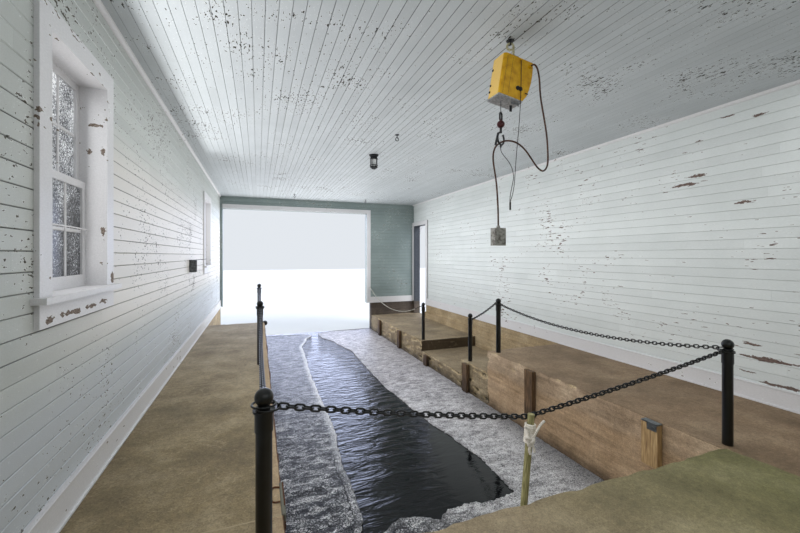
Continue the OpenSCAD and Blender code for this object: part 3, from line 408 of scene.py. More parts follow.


# The walkway's strip: a paler band along the slip edge and a painted shadow on its face over the slip
walk_concrete = concrete("walkway_concrete_tone", ("#6B5D45", "#857658", "#A39477"), 130.0,
                         joints=(-3.32, -0.83), further=("Y", -2.0, 5.0, ("#8F8474", "#A3988A", "#B8AEA0")),
                         veins=0.35, strip=(-1.84, -1.764, "#A89274", "#5A3A22"))
# The slip concrete's top faces at deck level are drawn darker as painted shade
slip_concrete = concrete("slip_concrete", ("#8E7860", "#AC947A", "#C5AF94"), 150.0,
                         further=("Y", -3.0, 3.0, ("#9A8872", "#B9A48B", "#D0BDA2")), lines=(0.56, 0.33),
                         foot=(0.62, "#A88863", 0.45), top=(right_z, "#CBC6BE"))
# The landing concrete darkens its riser face as painted shade
landing_concrete = concrete("landing_concrete", ("#75664F", "#8C7C63", "#A39479"), 150.0, veins=0.2,
                            riser=landing_y)
slab_concrete = concrete("slab_concrete_tone", ("#786A52", "#8F8066", "#A5967A"), 170.0,
                         further=("X", -0.6, 1.1, ("#6A6642", "#7D794F", "#928D66")))
ledge_concrete = concrete("ledge_concrete", ("#927F60", "#A99575", "#BFAD8F"), 130.0, outside=("X", 3.05))
dark_concrete = concrete("shaded_concrete", ("#40382E", "#524840", "#6A5F52"), 110.0, outside=("Y", 6.25))
dress(ledge_concrete, "right_foundation", "left_foundation")
dress(dark_concrete, "back_foundation", "front_foundation")



def cast_piece(name, node, material, slot, *blocks):
    # One deck or step out of blocks, each with its low and high corner, grid cell and worn faces
    form = bmesh.new()
    for lo, hi, cell, worn in blocks:
        eroded_block(form, lo, hi, cell, worn)
    finish_piece(name, form, material, node)


slab_right, ledge_in = slip_right - 0.092, half_w - 0.045
step_z, landing_z, far_z = 0.5, 0.24, 0.46
door_foot, door_end, out_x = 5.06, 5.99, 3.09
cast_piece("walkway_concrete", "left_walkway", walk_concrete, "concrete",
           ((-half_w, -half_l, 0), (slip_left, walk_y, near_z), 0.05,
            [(0, 1, 0.007), (2, 1, 0.002), (1, 1, 0.006)]))
cast_piece("near_slab_concrete", "near_slab", slab_concrete, "slab_concrete",
           ((slip_left, -half_l, 0), (slab_right, near_y, near_z), 0.05,
            [(1, 1, 0.012), (2, 1, 0.003), (0, 1, 0.008)]))
cast_piece("right_deck_concrete", "right_deck", slip_concrete, "concrete",
           ((slip_right, -half_l, 0), (half_w, deck_y, right_z), 0.045,
            [(0, -1, (0.007, 0.013)), (2, 1, 0.002), (1, 1, 0.012)]),
           ((slab_right, -half_l, 0), (slip_right, near_y, right_z), 0.055, [(2, 1, 0.002), (1, 1, 0.006)]))
cast_piece("lower_step_concrete", "lower_step", landing_concrete, "concrete",
           ((slip_right, deck_y, 0), (ledge_in, step_y, step_z), 0.03,
            [(0, -1, 0.034), (2, 1, 0.003), (1, 1, 0.008)]))
cast_piece("middle_landing_concrete", "middle_landing", landing_concrete, "concrete",
           ((slip_right, step_y, 0), (ledge_in, landing_y, landing_z), 0.03, [(0, -1, 0.036), (2, 1, 0.003)]))
cast_piece("far_landing_concrete", "far_landing", landing_concrete, "concrete",
           ((slip_right, landing_y, 0), (ledge_in, door_foot, far_z), 0.035,
            [(0, -1, (0.034, 0.022)), (2, 1, 0.003), (1, -1, 0.006)]),
           ((slip_right, door_foot, 0), (half_w, half_l, far_z), 0.05,
            [(0, -1, (0.022, 0.012)), (2, 1, 0.002)]),
           ((half_w, door_foot, 0), (out_x, door_end, far_z), 0.05, [(2, 1, 0.003)]))

# Board walls: tongue and groove boards laid flat on both faces of the studs, painted pale grey
# green many times; the paint has flaked off along the joints down to grey wood.
def flaking_paint(name, paint, bare, run, amount, line, boards=True, flake=34.0, gloss=0.5, light_band=None,
                  peeled=(), fade=None, dash=0.45, outside=None):
    # Old paint on boards: run is the axis that the boards follow, amount the level over which flakes
    # are off, line the colour and strength of the dark joint lines, partly dirt and partly painted shade in
    # the grooves; the light band, a band of painted light between two heights with a start along the wall,
    # with painted highlights on the joints above it, and lighter joints and a painted cool light below it;
    # peeled the middles and sizes of patches that have come off, fade the place across the room where the
    # joints' painted shade is darkest and how far it shows, outside the axis and distance past which the boards
    # face the weather
    material, place, add = new_material(name)
    board = add("Attribute", attribute_name="board")
    apart = add("VectorMath", board, (7.0, 3.0, 5.0), operation="MULTIPLY")
    own = add("VectorMath", place, apart, operation="ADD")
    stretch = [1.0, 1.0, 1.0]
    stretch[run] = dash
    along = add("Mapping", own, Scale=tuple(stretch))
    chips = add("TexNoise", along, Scale=flake, Detail=2.0, Roughness=0.6)
    patch = add("TexNoise", place, Scale=1.9, Detail=2.0)
    crackle = add("TexNoise", along, Scale=flake * 5.0, Detail=2.0)
    across = add("Attribute", attribute_name="across")
    centre = add("Math", across, 0.5, operation="SUBTRACT")
    aside = add("Math", centre, operation="ABSOLUTE")
    edge = add("MapRange", aside, 0.34, 0.5)
    bias = add("Math", edge, 0.025 if boards else 0.0, chips, operation="MULTIPLY_ADD")
    lean = add("Math", patch, 0.5, bias, operation="MULTIPLY_ADD")
    if peeled:
        torn = add("TexNoise", place, Scale=45.0, Detail=5.0, Roughness=0.7)
        pulled = add("VectorMath", (torn, "Color"), (0.045, 0.045, 0.045), operation="MULTIPLY")
        moved = add("VectorMath", place, pulled, operation="ADD")
        ragged = add("VectorMath", moved, (0.0225, 0.0225, 0.0225), operation="SUBTRACT")
    for middle, reach in peeled:
        shift = add("VectorMath", ragged, middle, operation="SUBTRACT")
        scaled = add("VectorMath", shift, reach, operation="DIVIDE")
        far = add("VectorMath", scaled, operation="LENGTH")
        inside = add("MapRange", (far, "Value"), 0.3, 1.2, 0.45, 0.0)
        lean = add("Math", lean, inside, operation="ADD")
    off = add("MapRange", lean, amount, amount + 0.012)
    curl = add("MapRange", lean, amount - 0.05, amount)
    film = add("Mix", patch, paint[0], paint[1])
    joint = line[0]
    # Painted light: a warm lit band between two heights, painted highlights on the joints above it, lighter
    # joints below it and a painted cool light on the lower boards
    if light_band:
        painted_light_tone, low, high, start = light_band
        where = add("SeparateXYZ", place)
        over = add("MapRange", (where, "Z"), low - 0.15, low + 0.15)
        under = add("MapRange", (where, "Z"), high - 0.15, high + 0.15, 1.0, 0.0)
        band = add("Math", over, under, operation="MULTIPLY")
        beyond = add("MapRange", (where, "Y"), start - 1.2, start)
        lit_mask = add("Math", band, beyond, operation="MULTIPLY")
        film = add("Mix", lit_mask, film, painted_light_tone)
        joint_highlight = add("Mix", over, "#7C8382", "#EEF2F0")
        joint = add("Mix", band, joint_highlight, line[0])
        cool_low_light = add("MapRange", (where, "Z"), low - 0.25, low + 0.05, 0.75, 0.0)
        film = add("Mix", cool_low_light, film, "#C0C6CE")
    if outside:
        spot = add("SeparateXYZ", place)
        reach_out = add("Math", (spot, outside[0]), operation="ABSOLUTE")
        weather = add("Math", reach_out, outside[1], operation="GREATER_THAN")
        film = add("Mix", weather, film, "#B4BCB9")
        joint = add("Mix", weather, joint, "#666C6A")
    grime = add("Math", crackle, 0.22, 0.84, operation="MULTIPLY_ADD")
    tint = add("Math", board, 0.09, grime, operation="MULTIPLY_ADD")
    toned = add("Mix", 1.0, film, tint, blend_type="MULTIPLY")
    # Painted highlight: curled paint at the flake edges is drawn near white, as if catching the light
    curl_highlight = add("Math", curl, crackle, operation="MULTIPLY")
    colour = add("Mix", curl_highlight, toned, "#EFF3F2")
    if boards:
        # Dark joint lines: partly dirt in the joints and partly painted shade in the grooves; fade sets where
        # across the room this painted shade is darkest
        groove = add("MapRange", aside, 0.46, 0.485, To_Max=line[1])
        reach = [1.0, 1.0, 1.0]
        reach[run] = 0.12
        longer = add("Mapping", own, Scale=tuple(reach))
        gaps = add("TexNoise", longer, Scale=12.0, Detail=4.0, Roughness=0.7)
        shown = add("MapRange", gaps, 0.36, 0.58, 0.25, 0.62)
        joint_dirt_and_shade = add("Math", groove, shown, operation="MULTIPLY")
        if fade:
            place_x = add("SeparateXYZ", place)
            off_middle = add("Math", place_x, fade[0], operation="SUBTRACT")
            spread = add("Math", off_middle, operation="ABSOLUTE")
            kept = add("MapRange", spread, 0.5, fade[1], 1.0, 0.28)
            joint_dirt_and_shade = add("Math", joint_dirt_and_shade, kept, operation="MULTIPLY")
        colour = add("Mix", joint_dirt_and_shade, colour, joint)
    wood = add("ValToRGB", crackle, ramp=[(0.35, bare[0]), (0.65, bare[1])])
    seen = add("Mix", off, colour, wood)
    height = add("Math", off, -1.5, crackle, operation="MULTIPLY_ADD")
    lift = add("Bump", Height=height, Strength=0.35, Distance=0.0015)
    rough = add("MapRange", off, To_Min=gloss, To_Max=0.9)
    drive(material, Base_Color=seen, Roughness=rough, Normal=lift)
    return material


bare_grey = ("#35322D", "#6E685D")
# The left wall has a band of painted warm light at window height past the near window, painted highlights on
# its joints above and below that band, and a painted cool light low down
left_paint = flaking_paint("left_wall_paint", ("#B0B5B1", "#C8CBC8"), bare_grey, 1, 0.922, ("#45474A", 1.3),
                           light_band=("#D9D6D1", 1.75, 3.15, -2.2), flake=58.0,
                           outside=("X", 3.0))
# Bare patches on the right wall: middle along and up the wall, then half length and half height
right_patches = ((-2.56, 3.27, 0.17, 0.02), (-2.46, 3.19, 0.26, 0.022), (-3.03, 2.90, 0.13, 0.02),
                 (-3.24, 1.29, 0.3, 0.026), (-3.33, 1.06, 0.18, 0.018), (-3.15, 3.78, 0.08, 0.014),
                 (-2.85, 3.86, 0.12, 0.01), (-3.1, 1.42, 0.1, 0.012), (-3.05, 1.13, 0.12, 0.01))
right_paint = flaking_paint("right_wall_paint", ("#CBD1D0", "#DDE1E1"), ("#4A3C36", "#85736C"), 1, 0.96,
                            ("#A3A9A7", 0.5), dash=0.16, flake=52.0, outside=("X", 3.0),
                            peeled=[((half_w, y, z), (0.06, long, high)) for y, z, long, high in right_patches])
# The end walls carry the same pale grey green paint as the side walls, drawn darker as painted shade for the
# backlit end walls; their outer faces keep a paler tone
shaded_end_paint = flaking_paint("shaded_end_wall_paint", ("#7B8987", "#909D9C"), bare_grey, 0, 0.95, ("#3E4645", 1.1),
                          outside=("Y", 6.2))
stud_wood = mottled("sawn_spruce", 14.0, 6.0, [(0.3, "#2A2620"), (0.7, "#4A4238")], Roughness=0.85)

random.seed(11)


def spans_left(run, holes, z0, z1):
    # The parts of a run that no hole at this height cuts away
    spans = [run]
    for a, b, low, high in holes:
        if low < z1 - 1e-6 and high > z0 + 1e-6:
            halves = [half for s, e in spans for half in ((s, min(e, a)), (max(s, b), e))]
            spans = [(s, e) for s, e in halves if e - s > 1e-4]
    return spans


stock_length, shortest = 3.66, 0.25


def lay_boards(form, run, back, face, rise, pitch, holes, put, chamfer=0.004, gap=0.0016, joints=True):
    # Rows of boards from back to face, cut round the holes, with butt joints where boards end
    tone = form.faces.layers.float.get("board") or form.faces.layers.float.new("board")
    across = form.verts.layers.float.get("across") or form.verts.layers.float.new("across")
    out = 1 if face > back else -1
    base, top = rise
    rows = max(1, math.ceil((top - base) / pitch - 1e-6)) if pitch else 1
    for row in range(rows):
        z0 = base + row * pitch if pitch else base
        z1 = min(top, z0 + pitch) if pitch else top
        cuts = sorted({z0, z1} | {z for hole in holes for z in hole[2:] if z0 < z < z1})
        row_tone = random.random()
        offset = random.uniform(0.0, 3.2)
        for low, high in zip(cuts, cuts[1:]):
            for s, e in spans_left(run, holes, low, high):
                ends = [s]
                at = run[0] + offset
                while joints and at < e - shortest:
                    if at > s + shortest:
                        ends.append(at)
                    at += stock_length
                ends.append(e)
                for k, (a, b) in enumerate(zip(ends, ends[1:])):
                    foot = low + (gap / 2 if low == z0 and pitch else 0)
                    head = high - (gap / 2 if high == z1 and pitch else 0)
                    cut_foot = chamfer if low == z0 and pitch else 0.0
                    cut_head = chamfer if high == z1 and pitch else 0.0
                    shape = [(back, foot), (face - out * cut_foot, foot)]
                    if cut_foot:
                        shape.append((face, foot + cut_foot))
                    if cut_head:
                        shape.append((face, head - cut_head))
                    shape += [(face - out * cut_head, head), (back, head)]
                    a_end, b_end = a + (0.0006 if k else 0), b
                    start = [form.verts.new(put(d, a_end, z)) for d, z in shape]
                    end = [form.verts.new(put(d, b_end, z)) for d, z in shape]
                    made = [form.faces.new(start), form.faces.new(list(reversed(end)))]
                    for i in range(len(shape)):
                        made.append(form.faces.new((start[i - 1], end[i - 1], end[i], start[i])))
                    value = (row_tone + 0.37 * k) % 1.0
                    for f in made:
                        f[tone] = value
                    for v, (d, z) in zip(start + end, shape + shape):
                        v[across] = (z - z0) / (z1 - z0) if pitch else 0.5


def x_wall(d, r, z):
    return (d, r, z)


def y_wall(d, r, z):
    return (r, d, z)


board, outer_pitch, plate_z, out_y = 0.014, 0.12, 4.2, 6.3


def wall_piece(name, node, material, parts, chamfer=0.004):
    # parts: run, inner face, outer face, foot, holes, mapping, pitch of the inner boards; these stop at
    # the ceiling, and the studs between both faces show only at cut ends
    form = bmesh.new()
    for run, inner, outer, foot, holes, put, pitch in parts:
        depth = board if outer > inner else -board
        lay_boards(form, run, inner + depth, inner, (foot, ceiling_z), pitch, holes, put, chamfer=chamfer)
        lay_boards(form, run, outer - depth, outer, (foot, plate_z), outer_pitch, holes, put)
        lay_boards(form, run, inner + depth, outer - depth, (foot, plate_z), 0, holes, put, joints=False)
        lay_boards(form, run, inner, inner + depth, (ceiling_z, plate_z), 0, holes, put, joints=False)
    finish_piece(name, form, material, node)


windows = [(-2.74, 0.37), (3.25, 0.45)]
sill_z, window_top = 2.14, 3.47
window_holes = [(y - a - 0.02, y + a + 0.02, sill_z - 0.032, window_top + 0.02) for y, a in windows]
door_near, door_far, door_head = 5.035, 6.015, 3.325
opening_left, opening_right, opening_head = -2.826, 1.313, 3.655
wall_piece("left_wall_boards", "left_wall", left_paint,
           [((-half_l, half_l), -half_w, -out_x, near_z, window_holes, x_wall, 0.096)])
wall_piece("right_wall_boards", "right_wall", right_paint,
           [((-half_l, door_near), half_w, out_x, right_z, [], x_wall, 0.104)], chamfer=0.002)
wall_piece("door_head_boards", "door_head_wall", right_paint,
           [((door_near, door_far), half_w, out_x, door_head, [], x_wall, 0.104)], chamfer=0.002)
wall_piece("back_wall_boards", "back_wall", shaded_end_paint,
           [((-out_x, out_x), -half_l, -out_y, near_z, [], y_wall, 0.1)])
wall_piece("front_wall_boards", "front_wall", shaded_end_paint,
           [((opening_right, out_x), half_l, out_y, right_z, [], y_wall, 0.1),
            ((door_far, half_l), half_w, out_x, right_z, [], x_wall, 0.1)])
wall_piece("front_post_boards", "front_post", shaded_end_paint,
           [((-out_x, opening_left), half_l, out_y, near_z, [], y_wall, 0.1)])
wall_piece("front_lintel_boards", "front_lintel", shaded_end_paint,
           [((opening_left, opening_right), half_l, out_y, opening_head, [], y_wall, 0.1)])

# Gables: the same boards over the end walls, cut to the roof slopes.
ridge_z, slope = 5.7744, math.radians(27)
form = bmesh.new()
for side in (-1, 1):
    inner, outer, middle = side * half_l, side * out_y, side * (out_y - board)
    lay_boards(form, (-out_x, out_x), middle, outer, (plate_z, ridge_z), outer_pitch, [], y_wall)
    lay_boards(form, (-out_x, out_x), inner, middle, (plate_z, ridge_z), 0, [], y_wall, joints=False)
for side in (-1, 1):
    cut = bmesh.ops.bisect_plane(form, geom=form.verts[:] + form.edges[:] + form.faces[:], clear_outer=True,
                                 plane_co=(0, 0, ridge_z),
                                 plane_no=(side * math.sin(slope), 0, math.cos(slope)))
    rim = [e for e in cut["geom_cut"] if isinstance(e, bmesh.types.BMEdge)]
    bmesh.ops.holes_fill(form, edges=rim, sides=0)
finish_piece("gable_boards", form, shaded_end_paint, "gables")

# Ceiling: narrow tongue and groove boards along the room, nailed up under the joists; more of its
# paint has come off, and one joint stands open near the hoist, its gap drawn as a dark strip of painted shadow.
ceiling_paint = flaking_paint("ceiling_board_paint", ("#ABB1B4", "#C1C6CA"), ("#1B1A18", "#45413A"), 1, 0.928,
                              ("#33373A", 1.5), flake=62.0, fade=(-0.75, 1.9), dash=0.35)
form = bmesh.new()


def ceiling_board(d, r, x):
    return (x, r, d)


across_room, along_room = (-half_w, half_w), (-half_l, half_l)
lay_boards(form, along_room, ceiling_z + board, ceiling_z, across_room, 0.086, [], ceiling_board,
           chamfer=0.0015, gap=0.0018)
lay_boards(form, along_room, ceiling_z + board, ceiling_z + 0.022, across_room, 0, [], ceiling_board,
           joints=False)
finish_piece("ceiling_boards", form, ceiling_paint, "ceiling")

# Open joint: a board beside the hoist has shrunk; dark wood strips laid on the ceiling stand in for the shade
# in the gap, as painted shadow.
form = bmesh.new()
for y, width, length in ((-3.05, 0.005, 0.82), (-2.18, 0.003, 0.5)):
    bmesh.ops.create_cube(form, size=1, matrix=Matrix.Translation((-0.0535, y, ceiling_z - 0.0002))
                          @ Matrix.Diagonal((width, length, 0.0012, 1)))
finish_piece("ceiling_joint_shadow", form, stud_wood)

# Trim: quarter round, baseboards, casings, stools, jambs and sashes of pine, brush painted white
# and flaking; the paint is thicker and smoother than on the wall boards.
# Bare patches on the near window's stool, apron and casing: middle, then half sizes
window_patches = (((-2.868, -3.0, 2.03), (0.08, 0.1, 0.034)), ((-2.868, -2.835, 2.025), (0.08, 0.07, 0.022)),
                  ((-2.868, -2.637, 2.03), (0.08, 0.12, 0.018)), ((-2.868, -3.134, 2.02), (0.08, 0.05, 0.03)),
                  ((-2.868, -2.43, 2.04), (0.08, 0.09, 0.02)), ((-2.868, -2.272, 2.19), (0.06, 0.05, 0.05)),
                  ((-2.893, -2.37, 2.50), (0.022, 0.04, 0.06)), ((-2.968, -2.37, 3.04), (0.022, 0.04, 0.022)),
                  ((-2.893, -2.37, 3.05), (0.014, 0.04, 0.03)), ((-2.935, -2.37, 3.22), (0.05, 0.04, 0.015)),
                  ((-2.862, -3.26, 3.0), (0.04, 0.04, 0.07)))
trim_paint = flaking_paint("white_trim_paint", ("#D6D5D7", "#E2E1E3"), ("#5A4A40", "#8F8379"), 1, 0.985,
                           ("#8A8A88", 0.0), boards=False, flake=26.0, gloss=0.42, peeled=window_patches)
dress(trim_paint, "ceiling_moulding", "baseboards", "boat_opening_casing", "side_door_casing", "window_casings",
      "window_jambs", "window_sashes", "eave_braces")
# The side door's jamb is drawn dark grey as painted shade
dress(mottled("shaded_jamb_paint", 25.0, 5.0, [(0.3, "#2C3035"), (0.7, "#43474C")], Roughness=0.6),
      "side_door_jamb")


def plank(form, lo, hi, chamfer=0.002):
    # A planed board with eased edges
    made = bmesh.ops.create_cube(form, size=1)["verts"]
    bmesh.ops.scale(form, vec=[b - a for a, b in zip(lo, hi)], verts=made)
    bmesh.ops.translate(form, vec=[(a + b) / 2 for a, b in zip(lo, hi)], verts=made)
    rim = list(dict.fromkeys(e for v in made for e in v.link_edges))
    bmesh.ops.bevel(form, geom=rim, offset=chamfer, segments=1, profile=0.5, affect="EDGES", material=-1)


# Beads: the rounded strip along the top of the baseboards and the shoe at their foot.
form = bmesh.new()
face, start = half_w - 0.0195, -half_l + 0.02
plank(form, (-face, start, near_z + 0.172), (-half_w + 0.026, half_l, near_z + 0.182))
plank(form, (-face, start, near_z), (-half_w + 0.034, half_l, near_z + 0.018))
plank(form, (half_w - 0.026, start, right_z + 0.172), (face, 4.94, right_z + 0.182))
plank(form, (half_w - 0.034, start, right_z), (face, deck_y, right_z + 0.018))
finish_piece("baseboard_beads", form, trim_paint)

# Window bars: each sash has three by two lights between slender glazing bars.
form = bmesh.new()
bar = 0.011
for y, a in windows:
    clear = a - 0.046
    for back, low, high in ((-3.018, 2.216, 2.782), (-3.053, 2.828, 3.424)):
        middle = (low + high) / 2
        third = clear / 3
        for post in (y - third, y + third):
            plank(form, (back, post - bar, low - 0.002), (back + 2 * bar, post + bar, high + 0.002), 0.004)
        for start, stop in ((-clear, -third - bar), (-third + bar, third - bar), (third + bar, clear)):
            plank(form, (back + 0.001, y + start, middle - bar), (back + 0.021, y + stop, middle + bar), 0.004)
finish_piece("window_bars", form, trim_paint)

# Window panes: old drawn glass with frost on it, pale where the frost is thick and paler higher up; the pattern
# also glows, a painted light that stands in for the bright day outside.
frosted, place, add = new_material("glowing_frosted_pane", Roughness=0.25, IOR=1.5, Specular_IOR_Level=0.5,
                                   Emission_Strength=0.48)
fern = add("TexNoise", place, Scale=120.0, Detail=3.0, Roughness=0.7)
patches = add("TexNoise", place, Scale=5.0, Detail=2.0)
where = add("SeparateXYZ", place)
level = add("MapRange", (where, "Z"), 2.2, 3.4, -0.25, -0.03)
frost = add("Math", patches, 0.4, level, operation="MULTIPLY_ADD")
grainy = add("Math", fern, frost, operation="ADD")
tone = add("ValToRGB", grainy,
           ramp=[(0.44, "#1E1F21"), (0.57, "#5C5E62"), (0.68, "#B9BCC0"), (0.76, "#F2F4F6")])
# Painted light: the pane's pattern is also its glow
drive(frosted, Base_Color=tone, Emission_Color=tone)
dress(frosted, "window_glass")

# Sash rod: a thin bent steel rod that holds the near lower sash shut, in two eyes on its stiles.
form = bmesh.new()
rod_route = [(-2.978, -3.085, 2.478), (-2.972, -3.08, 2.502), (-2.970, -3.06, 2.512), (-2.970, -2.74, 2.516),
             (-2.970, -2.42, 2.512), (-2.972, -2.402, 2.502), (-2.978, -2.398, 2.478)]
strand_tube(form, smooth_route(rod_route, 4), 0.004, 8)
finish_piece("sash_rod", form, trim_paint)

# Roof: asphalt shingles in courses of 140 mm over the deck boards, with a bent metal ridge cap.
course_depth, tab_width, courses = 0.14, 0.333, 28
shingle, place, add = new_material("asphalt_shingle", Roughness=0.93)
where = add("SeparateXYZ", place)
away = add("Math", (where, "X"), operation="ABSOLUTE")
course = add("Math", away, 1 / (course_depth * math.cos(slope)), operation="MULTIPLY")
number = add("Math", course, operation="FLOOR")
shifted = add("Math", number, 0.37, (where, "Y"), operation="MULTIPLY_ADD")
tab = add("Math", shifted, 1 / tab_width, operation="MULTIPLY")
part = add("Math", tab, operation="FRACT")
slot_line = add("Math", part, 0.0, 0.02, operation="COMPARE")
tab_number = add("Math", tab, operation="FLOOR")
seed = add("CombineXYZ", X=number, Y=tab_number)
tab_tone = add("TexWhiteNoise", seed, noise_dimensions="3D")
granule = add("TexNoise", place, Scale=400.0, Detail=2.0)
mixed = add("Math", granule, 0.5, tab_tone, operation="MULTIPLY_ADD")
tone = add("ValToRGB", mixed, ramp=[(0.2, "#3E4142"), (0.7, "#5C5F60"), (1.0, "#74777A")])
cut_tone = add("Mix", slot_line, tone, "#1A1B1C")
stone = add("Bump", Height=granule, Strength=0.5, Distance=0.002)
drive(shingle, Base_Color=cut_tone, Normal=stone)
dress(flaking_paint("soffit_paint", ("#A9B4B0", "#B5BFBB"), bare_grey, 1, 0.95, ("#4A5250", 0.0), boards=False),
      "left_roof", "right_roof")
cap_metal, place, add = new_material("galvanised_cap", Roughness=0.5, Metallic=0.9)
spangle = add("TexVoronoi", place, Scale=60.0)
tone = add("ValToRGB", (spangle, "Color"), ramp=[(0.0, "#6A6E70"), (1.0, "#8E9294")])
drive(cap_metal, Base_Color=tone)
dress(cap_metal, "ridge_cap")

overhang, roof_depth, lap, roof_end = 0.42, 0.13, 0.02, 6.62
run_out = out_x + overhang
rise_top = ridge_z + roof_depth / math.cos(slope)
form = bmesh.new()
for side in (-1, 1):
    for i in range(courses):
        far = run_out - i * run_out / courses + (0.006 if i == 0 else 0)
        near = max(run_out - (i + 1) * run_out / courses - lap, 0.0)
        top_far = rise_top - far * math.tan(slope)
        top_near = rise_top - near * math.tan(slope)
        section = [(far, top_far), (far, top_far + 0.007), (near, top_near + 0.001), (near, top_near - 0.001)]
        ends = [[form.verts.new((side * x, y, z)) for x, z in section] for y in (-roof_end, roof_end)]
        form.faces.new(ends[0])
        form.faces.new(list(reversed(ends[1])))
        for k in range(4):
            form.faces.new((ends[0][k - 1], ends[1][k - 1], ends[1][k], ends[0][k]))
finish_piece("roof_shingles", form, shingle)

# Slip water: still, dark water at the foot of the walls, with ripples that run across the slip.
water, place, add = new_material("lake_water", Roughness=0.03, IOR=1.33)
flow = add("Mapping", place, Scale=(0.35, 1.0, 1.0))
ripple = add("TexNoise", flow, Scale=8.0, Detail=5.0, Roughness=0.55, Distortion=0.9)
depth = add("TexNoise", place, Scale=1.2, Detail=3.0)
tone = add("ValToRGB", depth, ramp=[(0.35, "#040506"), (0.7, "#0C0E11")])
where = add("SeparateXYZ", place)
exposed = add("Math", (where, "X"), -2.0, (where, "Y"), operation="MULTIPLY_ADD")
stirred = add("MapRange", exposed, -1.9, 1.6, 0.06, 1.0)
wave = add("Bump", Height=ripple, Strength=stirred, Distance=0.05)
drive(water, Base_Color=tone, Normal=wave)
form = bmesh.new()
bmesh.ops.create_grid(form, x_segments=24, y_segments=80, size=1)
bmesh.ops.scale(form, vec=(1.608, 4.995, 1), verts=form.verts)
bmesh.ops.translate(form, vec=(-0.155, 1.297, 0.006), verts=form.verts)
finish_piece("slip_water", form, water)

# Ice shelves: bubbly ice frozen to the slip walls and the slab, smooth and pale further out, with a
# raised, white crumbly rim.
ice, place, add = new_material("shelf_ice", Roughness=0.4, IOR=1.31)
where = add("SeparateXYZ", place)
flow = add("Mapping", place, Scale=(0.45, 1.0, 1.0))
waves = add("TexNoise", flow, Scale=13.0, Detail=3.0, Distortion=0.8)
bubbles = add("TexNoise", place, Scale=38.0, Detail=7.0, Roughness=0.85)
spread = add("MapRange", bubbles, 0.34, 0.66, 0.13, 0.5)
bed = add("Math", waves, 0.8, spread, operation="MULTIPLY_ADD")
crystals = add("TexNoise", place, Scale=85.0, Detail=3.0, Roughness=0.7)
sharp = add("MapRange", crystals, 0.36, 0.64, -0.2, 0.22)
mixed = add("Math", bed, sharp, operation="ADD")
left_tone = add("ValToRGB", mixed,
                ramp=[(0.5, "#101113"), (0.69, "#3E4044"), (0.8, "#77797E"), (0.92, "#F8F9FA")])
right_tone = add("ValToRGB", mixed,
                 ramp=[(0.46, "#57575A"), (0.64, "#B2B2B5"), (0.78, "#D6D6D9"), (0.9, "#FAFBFC")])
far_left = add("ValToRGB", mixed, ramp=[(0.46, "#2C2D33"), (0.68, "#4A4B53"), (0.92, "#A2A4AC")])
far_right = add("ValToRGB", mixed, ramp=[(0.46, "#59575C"), (0.68, "#908C91"), (0.92, "#D6D4D8")])
side = add("MapRange", (where, "X"), -0.7, 0.1)
near_tone = add("Mix", side, left_tone, right_tone)
away = add("MapRange", (where, "Y"), -2.2, 1.2)
far_tone = add("Mix", side, far_left, far_right)
body = add("Mix", away, near_tone, far_tone)
inland = add("Attribute", attribute_name="inland")
ragged = add("Math", bubbles, 0.16, inland, operation="MULTIPLY_ADD")
lean = add("Math", side, 0.09, ragged, operation="MULTIPLY_ADD")
crumbs = add("MapRange", lean, 0.09, 0.17, 0.9, 0.0)
thaw = add("MapRange", (where, "Y"), -1.8, -0.6, 0.25)
solid = add("Math", crumbs, thaw, operation="MULTIPLY")
grains = add("MapRange", crystals, 0.42, 0.56, 0.25)
white = add("Math", solid, grains, operation="MULTIPLY")
rimmed = add("Mix", white, body, "#EEF0F5")
bent = add("Math", waves, 0.05, inland, operation="MULTIPLY_ADD")
seam = add("Math", bent, 0.1, 0.007, operation="COMPARE")
old_seam = add("MapRange", (where, "Y"), -1.3, -0.9, 0.85, 0.0)
seam_left = add("MapRange", (where, "X"), -0.8, -0.7, 1.0, 0.0)
dark = add("Math", old_seam, seam_left, operation="MULTIPLY")
drawn = add("Math", seam, dark, operation="MULTIPLY")
# Painted shade: the right shelf darkens towards the deck wall at the near end, as the wall's shadow
shadow_edge = add("Math", waves, 0.5, (where, "X"), operation="MULTIPLY_ADD")
shadow = add("MapRange", shadow_edge, 1.35, 1.68, To_Max=0.6)
near_end = add("MapRange", (where, "Y"), -0.6, 0.6, 1.0, 0.3)
wall_shadow = add("Math", shadow, near_end, operation="MULTIPLY")
shadowed_ice = add("Mix", wall_shadow, rimmed, "#3A3A3C")
tone = add("Mix", drawn, shadowed_ice, "#14171B")
calm = add("MapRange", (where, "Y"), -2.0, 1.5, 0.8, 0.15)
crust = add("Bump", Height=mixed, Strength=calm, Distance=0.03)
drive(ice, Base_Color=tone, Normal=crust)


